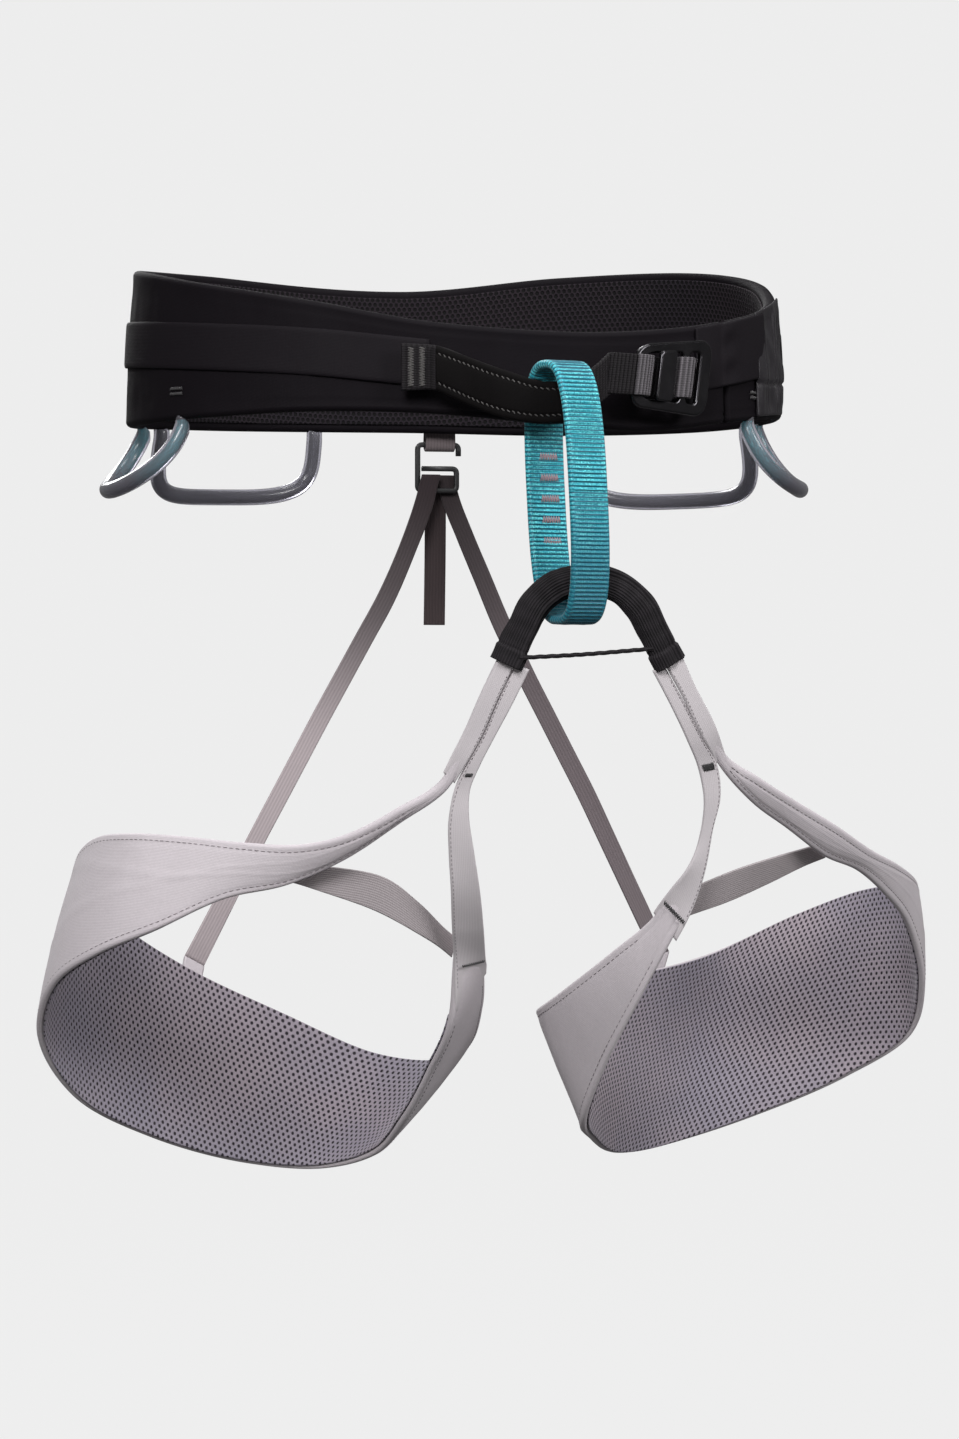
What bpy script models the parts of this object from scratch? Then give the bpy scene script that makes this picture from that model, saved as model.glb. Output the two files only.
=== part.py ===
"""A climbing harness: padded waist belt, tie-in loops, belay loop, leg loops and rear elastics.

The front is -Y and +Z is up. Names with left and right mean the sides as seen from the front, so
left is -X and is the wearer's right side. The origin is inside the waist opening, in the middle
plane of the belay loop and the rear hook and at the belt's middle height. Lengths in this file are
millimetres, and to_metres() turns them into Blender's metres.
"""

import math

import bmesh
import bpy
from mathutils import Vector

# Driving dimensions, in millimetres.
BELT_CENTRE_X = -18.0
BELT_HALF_WIDTH = 132.5
BELT_HALF_DEPTH = 97.0
BELT_START_ANGLE = 44.0
BELT_END_ANGLE = 402.4
GAP = 0.35
BELT_GAP = 0.5
SHELL_THICKNESS = 1.0
BELT_FOAM_THICKNESS = 3.2
LINER_THICKNESS = 0.9
WEBBING_THICKNESS = 1.4
LEG_SHELL_THICKNESS = 0.8
LEG_FOAM_THICKNESS = 1.4
LEG_LINER_THICKNESS = 0.8
GEAR_LOOP_RADIUS = 3.3
BELAY_WIDTH = 16.5
BELAY_THICKNESS = 3.2
BELAY_HALF_DEPTH = 15.4
BELAY_TURN = math.radians(15.5)
HOOK_DEPTH = 100.1
HOOK_CORNER = 2.0
LEFT_LEG_PIVOT = (-26.0, -117.5, -126.0)
RIGHT_LEG_PIVOT = (34.5, -117.5, -126.0)
REAR_TAIL_PIVOT = (-0.5, 105.0, -47.0)
BUCKLE_PLACE = (42.0, -97.0, -16.8)
BUCKLE_TURN = math.radians(20.2)
BUCKLE_LEAN = 0.15
BUCKLE_TAPER = 0.0068
BUCKLE_WIDTH = 36.0
BUCKLE_HEIGHT = 27.0
BUCKLE_WINDOW = 18.6
BUCKLE_WEBBING_HALF_WIDTH = 7.8
LOCK_BAR_HINGE = (-9.0, -3.4, 0.0)
LEFT_ANCHOR_COLUMN = 32
RIGHT_ANCHOR_COLUMN = 37

# Belt edges: angle from the front towards +X in degrees, top height, bottom height, and how far the
# top edge leans inwards.
BELT_EDGES = [
    (-180, 31, -28, 1),
    (-135, 33, -30, 2),
    (-90, 28, -33, 3),
    (-55, 18, -32, 2),
    (-35, 11, -31, 0),
    (-15, 3, -32, 0),
    (8, 0, -36, 0),
    (25, 2, -37, 0),
    (45, 8, -32, 1),
    (70, 18, -28, 2),
    (90, 29, -28, 4),
    (120, 37, -29, 3),
    (150, 37, -29, 2),
    (180, 31, -28, 1),
]

# Leg shells: pairs of upper-edge and lower-edge points, from the front end round the outside of the
# thigh to the inner end.
LEFT_LEG_EDGES = [
    ((-50, -105, -169), (-46, -104, -173)),
    ((-67, -102, -182), (-65, -96, -188)),
    ((-84, -96, -191), (-83, -89, -201)),
    ((-101, -87, -195), (-104, -80, -211)),
    ((-120, -75, -194), (-127, -73, -216)),
    ((-138, -59, -192), (-151, -63, -227)),
    ((-156, -38, -191), (-172, -46, -237)),
    ((-166, -14, -193), (-185, -24, -249)),
    ((-169, 14, -203), (-187, 2, -270)),
    ((-153, 45, -225), (-169, 27, -297)),
    ((-118, 66, -248), (-134, 44, -316)),
    ((-74, 72, -269), (-93, 49, -328)),
    ((-36, 61, -286), (-62, 39, -330)),
    ((-15, 37, -288), (-47, 17, -323)),
    ((-10, 5, -277), (-42, -10, -308)),
    ((-15, -26, -261), (-38, -36, -288)),
    ((-21.5, -52, -247), (-35.5, -60, -266)),
]
RIGHT_LEG_EDGES = [
    ((62, -105, -161), (60, -104, -165)),
    ((78, -98, -172), (77, -92, -178)),
    ((97, -88, -181), (94, -82, -188)),
    ((118, -75, -191), (114, -69, -200)),
    ((137, -58, -199), (131, -57, -208)),
    ((155, -37, -205), (149, -41, -218)),
    ((171, -12, -211), (167, -20, -232)),
    ((182, 16, -216), (181, 2, -257)),
    ((186, 44, -217), (182, 24, -280)),
    ((175, 64, -221), (160, 40, -297)),
    ((149, 74, -231), (122, 47, -313)),
    ((118, 71, -243), (87, 41, -322)),
    ((84, 49, -250), (54, 18, -324)),
    ((46, 18, -254), (34, -11, -316)),
    ((9, -20, -263), (24, -38, -304)),
    ((11, -46, -255), (27, -57, -283)),
    ((26, -72, -237), (36, -77, -255)),
    ((38, -84, -224), (45, -87, -234)),
]

# Straps: pairs of edge points along each strap.
LEFT_OUTER_RISER = [
    ((-32, -118, -125.5), (-26, -118, -127.5)),
    ((-37, -115, -137), (-31, -115, -139)),
    ((-43, -110, -153), (-37, -110, -155)),
    ((-47, -107, -162), (-42, -107, -165)),
    ((-49.6, -105.4, -168), (-45.4, -104.4, -171.6)),
]
LEFT_INNER_STRAP = [
    ((-25, -117, -127.8), (-20, -117, -129.6)),
    ((-30, -114, -139), (-25, -114, -141)),
    ((-36, -109, -155), (-32, -109, -156)),
    ((-41, -106, -165), (-36, -106, -165)),
    ((-44.4, -102.6, -174), (-39, -103, -174)),
    ((-46, -100, -185), (-39, -101, -184)),
    ((-45, -96, -198), (-36, -97, -198)),
    ((-43, -91, -211), (-32, -90, -212)),
    ((-40, -81, -226), (-27, -77, -228)),
    ((-36.5, -70, -240), (-23, -64, -239)),
    ((-33.6, -61.4, -261), (-19, -53.4, -245)),
]
LEFT_ELASTIC = [
    ((-98, -76, -203), (-104, -72, -209)),
    ((-84, -79, -204), (-88, -77, -214)),
    ((-66, -80, -208), (-69, -79, -221)),
    ((-52, -78, -218), (-52, -77, -230)),
    ((-40.5, -72, -228), (-41.5, -70, -236)),
]
RIGHT_OUTER_RISER = [
    ((40, -118, -124.5), (34, -118, -127.5)),
    ((45, -116, -134), (40, -116, -137)),
    ((55, -111, -150), (50, -111, -154)),
    ((61.4, -105.5, -160.3), (57.6, -105.3, -164.6)),
]
RIGHT_INNER_STRAP = [
    ((33.4, -117, -128), (29.4, -117, -130)),
    ((39.4, -115, -137.4), (35, -115, -139)),
    ((49, -110, -155), (45, -110, -156)),
    ((56.2, -103.8, -166), (51, -105, -167)),
    ((60, -102, -177), (54, -102, -179)),
    ((58, -99, -190), (53, -98, -194)),
    ((56, -95, -206), (49, -96, -205)),
    ((53, -91, -219), (44, -91, -213)),
    ((47.5, -87, -232), (39.4, -85, -221.6)),
]
RIGHT_ELASTIC = [
    ((56, -83, -212), (53, -81, -224)),
    ((73, -80, -206), (70, -77, -219)),
    ((93, -72, -201), (90, -69, -212)),
    ((112, -62, -197), (109, -60, -205)),
]
REAR_ELASTIC_LEFT = [
    ((-8.2, 97.6, -45.0), (-0.2, 97.6, -45.0)),
    ((-11, 97.0, -55), (-3.2, 97.0, -57)),
    ((-18.6, 95, -75), (-11.6, 95, -78)),
    ((-28.8, 92, -96), (-21.8, 92, -99.6)),
    ((-57, 86, -144), (-50.2, 86, -148)),
    ((-86.4, 79, -195.5), (-79.8, 79, -199.5)),
]
REAR_ELASTIC_RIGHT = [
    ((-1.0, 102.4, -45.0), (7.0, 102.4, -45.0)),
    ((1.4, 102.3, -55), (9.0, 102.3, -53.4)),
    ((6.6, 97, -71.6), (13.6, 97, -68.8)),
    ((20, 86.6, -109.6), (27, 86.6, -106)),
    ((29.4, 80.4, -132.2), (36.4, 80.4, -128.6)),
    ((51.6, 67.5, -181), (58.6, 67.5, -177.4)),
]
REAR_TAIL = [
    ((-4.5, 105, -47), (3.5, 105, -47)),
    ((-4.5, 105.4, -76), (3.5, 105.4, -76)),
    ((-5, 105, -108), (3, 105, -108)),
]
TIE_IN_WEBBING = [
    ((-64, -97.3, -6), (-64, -97.3, -24)),
    ((-51, -101.5, -7), (-51, -101.5, -24)),
    ((-39, -107, -12), (-39, -107, -30)),
    ((-27, -114, -17), (-27, -114, -35)),
    ((-14, -118.5, -21), (-14, -118.5, -37)),
    ((-4, -119, -20.6), (-4, -119, -36)),
    ((6, -117, -14.6), (6, -117, -30)),
    ((13.6, -111, -9), (13.6, -111, -25)),
]

# Webbing through the buckle, seen from above: distance along the belt and distance inwards, both
# from the buckle's centre.
BUCKLE_STRAP_ROUTE = [
    (-28, -4.4),
    (-22, -3.8),
    (-17, -3.1),
    (-12.8, -2.9),
    (-10.3, -1.1),
    (-9.9, 1.4),
    (-7.4, 3.2),
]
BUCKLE_TAIL_ROUTE = [(-6.2, 3.8), (0, 5.0), (8, 5.4), (20, 5.6)]
BUCKLE_ANCHOR_ROUTE = [
    (5.6, 2.6),
    (3.0, 1.6),
    (2.6, -1.0),
    (5.9, -2.5),
    (9.2, -1.2),
    (9.8, 1.4),
    (13, 3.2),
    (19, 3.4),
]

# Each colour's base colour, roughness and metallic value.
COLOURS = {
    "black_fabric": ((0.013, 0.012, 0.013), 0.85, 0.0),
    "black_mesh": ((0.02, 0.019, 0.021), 0.9, 0.0),
    "grey_foam": ((0.12, 0.12, 0.12), 0.95, 0.0),
    "black_webbing": ((0.016, 0.015, 0.016), 0.8, 0.0),
    "mauve_fabric": ((0.42, 0.38, 0.41), 0.85, 0.0),
    "mauve_mesh": ((0.22, 0.19, 0.23), 0.9, 0.0),
    "pale_webbing": ((0.52, 0.49, 0.50), 0.85, 0.0),
    "taupe_elastic": ((0.25, 0.22, 0.22), 0.85, 0.0),
    "teal_webbing": ((0.01, 0.33, 0.42), 0.7, 0.0),
    "black_metal": ((0.012, 0.012, 0.013), 0.35, 1.0),
    "black_plastic": ((0.015, 0.015, 0.015), 0.45, 0.0),
    "smoke_plastic": ((0.16, 0.17, 0.20), 0.4, 0.0),
    "label_cloth": ((0.50, 0.48, 0.55), 0.7, 0.0),
}


def to_metres(point):
    return Vector(point) * 0.001


def material(name):
    """The named Principled material, made once."""
    found = bpy.data.materials.get(name)
    if found:
        return found
    colour, roughness, metallic = COLOURS[name]
    made = bpy.data.materials.new(name)
    made.use_nodes = True
    shader = made.node_tree.nodes["Principled BSDF"]
    shader.inputs["Base Color"].default_value = (*colour, 1.0)
    shader.inputs["Roughness"].default_value = roughness
    shader.inputs["Metallic"].default_value = metallic
    return made


def smooth(rows, count):
    """Samples a smooth curve through rows of numbers, spaced by the distance between the rows."""
    rows = [Vector(row) for row in rows]
    knots = [0.0]
    for first, second in zip(rows, rows[1:]):
        knots.append(knots[-1] + (second - first).length)
    spans = [b - a for a, b in zip(knots, knots[1:])]
    slopes = [(b - a) / span for a, b, span in zip(rows, rows[1:], spans)]
    tangents = [slopes[0]]
    for before, after, span_before, span_after in zip(slopes, slopes[1:], spans, spans[1:]):
        tangents.append((before * span_after + after * span_before) / (span_before + span_after))
    tangents.append(slopes[-1])
    samples = []
    piece = 0
    for step in range(count):
        place = knots[-1] * step / (count - 1)
        while piece < len(spans) - 1 and place > knots[piece + 1]:
            piece += 1
        t = (place - knots[piece]) / spans[piece]
        samples.append(
            rows[piece] * (2 * t**3 - 3 * t**2 + 1)
            + tangents[piece] * ((t**3 - 2 * t**2 + t) * spans[piece])
            + rows[piece + 1] * (3 * t**2 - 2 * t**3)
            + tangents[piece + 1] * ((t**3 - t**2) * spans[piece])
        )
    return samples


def link(made, name, colour, origin=None):
    """Names an object, gives it its material, and moves its origin to a point of a joint's axis."""
    made.name = name
    made.data.name = name
    made.data.materials.append(material(colour))
    HARNESS.objects.link(made)
    if origin:
        place = to_metres(origin)
        if made.type == "MESH":
            for vertex in made.data.vertices:
                vertex.co -= place
        else:
            for point in made.data.splines[0].points:
                point.co = (*(Vector(point.co[:3]) - place), 1.0)
        made.location = place
    return made


def grid_between(pairs, count, rows, crown=0.0):
    """Rows of points between two smooth edges, bulged by crown along the surface's normal."""
    six = [(*upper, *lower) for upper, lower in pairs]
    grid = []
    for sample in smooth(six, count):
        upper = Vector(sample[:3])
        lower = Vector(sample[3:])
        grid.append([upper.lerp(lower, row / rows) for row in range(rows + 1)])
    if crown:
        normals = grid_normals(grid, False)
        for column, column_normals in zip(grid, normals):
            for row in range(1, rows):
                rise = math.sin(math.pi * row / rows) * crown
                column[row] = column[row] + column_normals[row] * rise
    return grid


def grid_normals(grid, closed):
    """Unit normals of a grid, from its neighbouring points: along the grid crossed with down it."""
    count = len(grid)
    normals = []
    for i, column in enumerate(grid):
        after = grid[(i + 1) % count] if closed else grid[min(i + 1, count - 1)]
        before = grid[i - 1] if closed or i else column
        column_normals = []
        for j in range(len(column)):
            along = after[j] - before[j]
            down = column[min(j + 1, len(column) - 1)] - column[max(j - 1, 0)]
            column_normals.append(down.cross(along).normalized())
        normals.append(column_normals)
    return normals


def pushed(grid, distance, closed=False):
    """The grid moved along its normals."""
    normals = grid_normals(grid, closed)
    return [
        [point + normal * distance for point, normal in zip(column, column_normals)]
        for column, column_normals in zip(grid, normals)
    ]


def trimmed(grid, share):
    """The grid without its end columns, its rows drawn in from both edges by a share of the width."""
    result = []
    for column in grid[1:-1]:
        last = len(column) - 1
        points = []
        for row in range(last + 1):
            place = last * (share + (1 - 2 * share) * row / last)
            low = min(int(place), last - 1)
            points.append(column[low].lerp(column[low + 1], place - low))
        result.append(points)
    return result


def cloth(name, grid, thickness, colour, closed=False, closed_across=False, origin=None):
    """A sheet over the grid with its thickness centred on it, as one closed solid."""
    mesh = bpy.data.meshes.new(name)
    build = bmesh.new()
    rows = [[build.verts.new(to_metres(point)) for point in column] for column in grid]
    spans = len(rows) if closed else len(rows) - 1
    across = len(rows[0]) if closed_across else len(rows[0]) - 1
    for i in range(spans):
        left = rows[i]
        right = rows[(i + 1) % len(rows)]
        for j in range(across):
            k = (j + 1) % len(left)
            build.faces.new((left[j], left[k], right[k], right[j]))
    build.to_mesh(mesh)
    build.free()
    mesh.shade_smooth()
    made = link(bpy.data.objects.new(name, mesh), name, colour, origin)
    solid = made.modifiers.new("thickness", "SOLIDIFY")
    solid.thickness = thickness * 0.001
    solid.offset = 0.0
    return made


def strap(name, pairs, count, thickness, colour, origin=None, shift=0.0):
    """A flat strap between two edges, moved along its normal by shift."""
    grid = grid_between(pairs, count, 1)
    if shift:
        grid = pushed(grid, shift)
    return cloth(name, grid, thickness, colour, origin=origin)


def tube(name, points, radius, colour, origin=None):
    """A round cord or rod along the points, with flat ends."""
    curve = bpy.data.curves.new(name, "CURVE")
    curve.dimensions = "3D"
    curve.bevel_depth = radius * 0.001
    curve.bevel_resolution = 2
    curve.use_fill_caps = True
    spline = curve.splines.new("POLY")
    spline.points.add(len(points) - 1)
    for slot, point in zip(spline.points, points):
        slot.co = (*to_metres(point), 1.0)
    return link(bpy.data.objects.new(name, curve), name, colour, origin)


def belt_row(angle):
    """Top height, bottom height and top lean of the belt at an angle in degrees."""
    angle = (angle + 180.0) % 360.0 - 180.0
    for low, high in zip(BELT_EDGES, BELT_EDGES[1:]):
        if low[0] <= angle <= high[0]:
            share = (angle - low[0]) / (high[0] - low[0])
            ease = share * share * (3 - 2 * share)
            return [a + (b - a) * ease for a, b in zip(low[1:], high[1:])]
    raise ValueError(angle)


def belt_point(angle, height, outward=0.0):
    """A point on the belt's outer face, from its angle, its height and a distance outwards."""
    top, bottom, lean = belt_row(angle)
    turn = math.radians(angle)
    normal = Vector((math.sin(turn) / BELT_HALF_WIDTH, -math.cos(turn) / BELT_HALF_DEPTH, 0))
    normal.normalize()
    share = min(max((height - bottom) / (top - bottom), 0.0), 1.0)
    across = BELT_CENTRE_X + BELT_HALF_WIDTH * math.sin(turn)
    place = Vector((across, -BELT_HALF_DEPTH * math.cos(turn), height))
    return place + normal * (outward - lean * share * share)


def belt_grid(start, end, outward, count, rows=2, top=None, bottom=None):
    """A grid on the belt between two angles; top and bottom are functions of the angle."""
    grid = []
    for step in range(count):
        angle = start + (end - start) * step / (count - 1)
        edge_top, edge_bottom, _ = belt_row(angle)
        high = top(angle) if top else edge_top
        low = bottom(angle) if bottom else edge_bottom
        heights = [high + (low - high) * row / rows for row in range(rows + 1)]
        grid.append([belt_point(angle, height, outward) for height in heights])
    return grid


def make_belt():
    """The padded belt: shell, foam and liner as layers, and the webbing band outside the shell."""
    foam_depth = SHELL_THICKNESS + BELT_GAP + BELT_FOAM_THICKNESS / 2
    liner_depth = SHELL_THICKNESS + BELT_FOAM_THICKNESS + 2 * BELT_GAP + LINER_THICKNESS / 2
    layers = [
        ("waist_shell", -SHELL_THICKNESS / 2, SHELL_THICKNESS, "black_fabric"),
        ("waist_foam", -foam_depth, BELT_FOAM_THICKNESS, "grey_foam"),
        ("waist_liner", -liner_depth, LINER_THICKNESS, "black_mesh"),
    ]
    for name, outward, thickness, colour in layers:
        trim = 1.6 if name == "waist_foam" else 0.0
        grid = belt_grid(
            BELT_START_ANGLE + trim,
            BELT_END_ANGLE - trim,
            outward,
            64,
            top=lambda angle: belt_row(angle)[0] - trim,
            bottom=lambda angle: belt_row(angle)[1] + trim,
        )
        cloth(name, grid, thickness, colour)

    def band_middle(angle):
        top, bottom, _ = belt_row(angle)
        return (top + bottom) / 2 + 1.5

    outward = BELT_GAP + WEBBING_THICKNESS / 2
    band = belt_grid(
        76.0,
        338.0,
        outward,
        48,
        rows=1,
        top=lambda angle: band_middle(angle) + 9.0,
        bottom=lambda angle: band_middle(angle) - 9.0,
    )
    cloth("waist_webbing", band, WEBBING_THICKNESS, "black_webbing")
    wing = belt_grid(
        34.5,
        74.5,
        outward,
        14,
        rows=1,
        top=lambda angle: 4.0 + (angle - 34.5) * 0.4,
        bottom=lambda angle: -22.0 + (angle - 34.5) * 0.36,
    )
    cloth("right_wing", wing, WEBBING_THICKNESS, "black_webbing")
    label = belt_grid(86.0, 92.0, outward + 1.6, 4, rows=1, top=lambda angle: 17.0, bottom=lambda angle: -1.0)
    cloth("size_label", label, 0.6, "label_cloth")


def make_gear_loop(name, start, end, drop, flare, roundness):
    """A stiff cord loop hanging from the belt's lower edge between two angles."""
    steps = 18
    squareness = 2.0 / roundness
    points = []
    for step in range(steps + 1):
        t = math.pi * step / steps
        across = 0.5 - 0.5 * math.copysign(abs(math.cos(t)) ** squareness, math.cos(t))
        hang = math.sin(t) ** squareness if 0 < step < steps else 0.0
        angle = start + (end - start) * across
        bottom = belt_row(angle)[1]
        points.append(belt_point(angle, bottom - 3.0 - hang * drop, flare * hang - 3.0))
    pivot = (points[0] + points[-1]) / 2
    tube(name, points, GEAR_LOOP_RADIUS, "smoke_plastic", pivot)


def make_belay_loop():
    """A closed webbing ring with nearly straight sides, turned a little about its long axis."""
    steps = 36
    squareness = 2.0 / 2.9
    top = Vector((-8.2, -120.4, -14.8))
    bottom = Vector((-3.4, -120.8, -110.6))
    middle = (top + bottom) / 2
    half_length = (top - bottom) / 2
    depth_way = Vector((math.sin(BELAY_TURN), -math.cos(BELAY_TURN), 0))
    width_way = Vector((math.cos(BELAY_TURN), math.sin(BELAY_TURN), 0))
    grid = []
    for step in range(steps):
        t = 2 * math.pi * step / steps
        out = math.copysign(abs(math.cos(t)) ** squareness, math.cos(t))
        up = math.copysign(abs(math.sin(t)) ** squareness, math.sin(t))
        place = middle + half_length * up + depth_way * (BELAY_HALF_DEPTH * out)
        grid.append([place - width_way * (BELAY_WIDTH / 2), place + width_way * (BELAY_WIDTH / 2)])
    cloth("belay_loop", grid, BELAY_THICKNESS, "teal_webbing", closed=True, origin=middle)


def make_tie_in():
    """The upper tie-in: load webbing with a padded guard in front of its exposed half."""
    strap("tie_in_webbing", TIE_IN_WEBBING, 22, 2.0, "black_webbing")
    guard = TIE_IN_WEBBING[1:5]
    strap("tie_in_guard", guard, 14, 1.4, "black_fabric", shift=2.3)


def oval_tube(path, width_way, half_width, half_thickness, sides=10):
    """Rings of points round a path; width_way gives the direction of the wide side at each point."""
    grid = []
    for i, place in enumerate(path):
        along = (path[min(i + 1, len(path) - 1)] - path[max(i - 1, 0)]).normalized()
        wide = width_way(along)
        thick = along.cross(wide).normalized()
        ring = []
        for side in range(sides):
            t = 2 * math.pi * side / sides
            ring.append(place + wide * (half_width * math.cos(t)) + thick * (half_thickness * math.sin(t)))
        grid.append(ring)
    return grid


def make_lower_tie_in():
    """The arch under the belay loop: webbing inside an oval sleeve, and the cord across its ends."""
    arch = [
        (-27.6, -117.6, -124.4),
        (-23, -119.4, -114),
        (-17.6, -120.6, -104),
        (-9.4, -121, -97.6),
        (2, -121, -95.6),
        (13.4, -121, -97.6),
        (22.6, -120.6, -105),
        (28.6, -119.4, -115),
        (34, -117.8, -124.4),
    ]
    front = Vector((0, -1, 0))

    def in_plane(along):
        return along.cross(front).normalized()

    path = smooth(arch, 22)
    sleeve = oval_tube(path, in_plane, 5.8, 3.1)
    cloth("lower_tie_in_sleeve", sleeve, 1.0, "black_fabric", closed_across=True)
    core = []
    for i, place in enumerate(path):
        along = (path[min(i + 1, len(path) - 1)] - path[max(i - 1, 0)]).normalized()
        wide = in_plane(along)
        core.append([place + wide * 4.0, place - wide * 4.0])
    cloth("lower_tie_in_webbing", core, 2.2, "pale_webbing")
    cord = [(-21.5, -121.2, -124.6), (0, -121.6, -123.4), (24.4, -121.2, -121.4)]
    tube("keeper_cord", cord, 0.9, "black_fabric")


def outline(width, height, corner, centre=(0.0, 0.0)):
    """A rectangle with round corners, as a list of points."""
    points = []
    for turn in range(4):
        middle_x = (width / 2 - corner) * (1 if turn in (0, 3) else -1)
        middle_y = (height / 2 - corner) * (1 if turn in (0, 1) else -1)
        for step in range(5):
            t = math.radians(90 * turn + 22.5 * step)
            points.append(
                (
                    centre[0] + middle_x + corner * math.cos(t),
                    centre[1] + middle_y + corner * math.sin(t),
                )
            )
    return points


def plate(name, outlines, thickness, colour, parent, place):
    """A flat plate with windows: its outline lies in the parent's X and Z."""
    curve = bpy.data.curves.new(name, "CURVE")
    curve.dimensions = "2D"
    curve.fill_mode = "BOTH"
    curve.extrude = thickness * 0.0005
    for points in outlines:
        spline = curve.splines.new("POLY")
        spline.points.add(len(points) - 1)
        for slot, (x, y) in zip(spline.points, points):
            slot.co = (x * 0.001, y * 0.001, 0.0, 1.0)
        spline.use_cyclic_u = True
    made = link(bpy.data.objects.new(name, curve), name, colour)
    made.rotation_euler = (math.pi / 2, 0, 0)
    made.location = to_metres(place)
    made.parent = parent
    return made


def leaned(points):
    """Outline points in the buckle's slanting shape: leaning sides, and taller towards +X."""
    return [(x + y * BUCKLE_LEAN, y * (1 + x * BUCKLE_TAPER)) for x, y in points]


def make_buckle():
    """Two-window frame, tilting lock bar, and the webbing threaded round its bars."""
    centre = bpy.data.objects.new("buckle_centre", None)
    HARNESS.objects.link(centre)
    centre.location = to_metres(BUCKLE_PLACE)
    centre.rotation_euler = (0, 0, BUCKLE_TURN)
    wide_window = outline(16.6, BUCKLE_WINDOW, 1.6, (-4.1, 0.0))
    narrow_window = outline(4.8, BUCKLE_WINDOW, 1.6, (10.0, 0.0))
    frame = [outline(BUCKLE_WIDTH, BUCKLE_HEIGHT, 6.0), wide_window, narrow_window]
    plate("buckle_frame", [leaned(points) for points in frame], 2.2, "black_metal", centre, (0, 0, 0))
    lock_bar = leaned(outline(8.6, 24.0, 2.4, (4.3, 0.0)))
    plate("buckle_lock_bar", [lock_bar], 2.0, "black_metal", centre, LOCK_BAR_HINGE)
    along = Vector((math.cos(BUCKLE_TURN), math.sin(BUCKLE_TURN), 0))
    inward = Vector((-math.sin(BUCKLE_TURN), math.cos(BUCKLE_TURN), 0))
    half_width = (Vector((0, 0, 1)) + along * BUCKLE_LEAN) * BUCKLE_WEBBING_HALF_WIDTH

    def webbing(name, route, thickness, count):
        middle = [Vector(BUCKLE_PLACE) + along * x + inward * y for x, y in route]
        pairs = [(point + half_width, point - half_width) for point in middle]
        strap(name, pairs, count, thickness, "black_webbing")

    webbing("buckle_strap", BUCKLE_STRAP_ROUTE, 1.4, 18)
    webbing("buckle_tail", BUCKLE_TAIL_ROUTE, 1.2, 8)
    webbing("buckle_anchor", BUCKLE_ANCHOR_ROUTE, 1.2, 26)


def patch(grid, first, last, high, low, rows=3):
    """Part of a grid, between two columns and two shares of its width; below 0 is past the edge."""
    result = []
    for column in grid[first : last + 1]:
        end = len(column) - 1
        points = []
        for row in range(rows + 1):
            place = end * (high + (low - high) * row / rows)
            lower = min(max(int(place), 0), end - 1)
            points.append(column[lower].lerp(column[lower + 1], place - lower))
        result.append(points)
    return result


def make_leg(side, edges, riser, inner, elastic, rear_elastic, anchor_column, pivot):
    """One leg loop: three layers, riser, inner thigh strap, cross elastic, rear anchor and rear elastic."""
    outward = -1.0 if side == "left" else 1.0
    base = grid_between(edges, 56, 3, crown=1.2 * outward)
    shell = pushed(base, -outward * LEG_SHELL_THICKNESS / 2)
    depth = LEG_SHELL_THICKNESS + GAP + LEG_FOAM_THICKNESS / 2
    foam = trimmed(pushed(base, -outward * depth), 0.03)
    depth = LEG_SHELL_THICKNESS + LEG_FOAM_THICKNESS + 2 * GAP + LEG_LINER_THICKNESS / 2
    liner = pushed(base, -outward * depth)
    cloth(f"{side}_leg_shell", shell, LEG_SHELL_THICKNESS, "mauve_fabric", origin=pivot)
    cloth(f"{side}_leg_foam", foam, LEG_FOAM_THICKNESS, "grey_foam", origin=pivot)
    cloth(f"{side}_leg_liner", liner, LEG_LINER_THICKNESS, "mauve_mesh", origin=pivot)
    strap(f"{side}_outer_riser", riser, 10, 3.0, "pale_webbing", origin=pivot)
    strap(f"{side}_inner_strap", inner, 26, 1.8, "pale_webbing", origin=pivot)
    strap(f"{side}_leg_elastic", elastic, 16, 1.2, "taupe_elastic", origin=pivot)
    anchor = patch(pushed(base, outward * (GAP + 0.8)), anchor_column, anchor_column + 1, -0.08, 0.38)
    cloth(f"{side}_rear_anchor", anchor, 1.2, "mauve_fabric", origin=pivot)
    above = Vector((0, 0.2, 1.2))
    ends = sorted((tuple(column[0] + above) for column in anchor), key=lambda point: point[0])
    strap(f"rear_elastic_{side}", rear_elastic + [tuple(ends)], 22, 1.2, "taupe_elastic")


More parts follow.
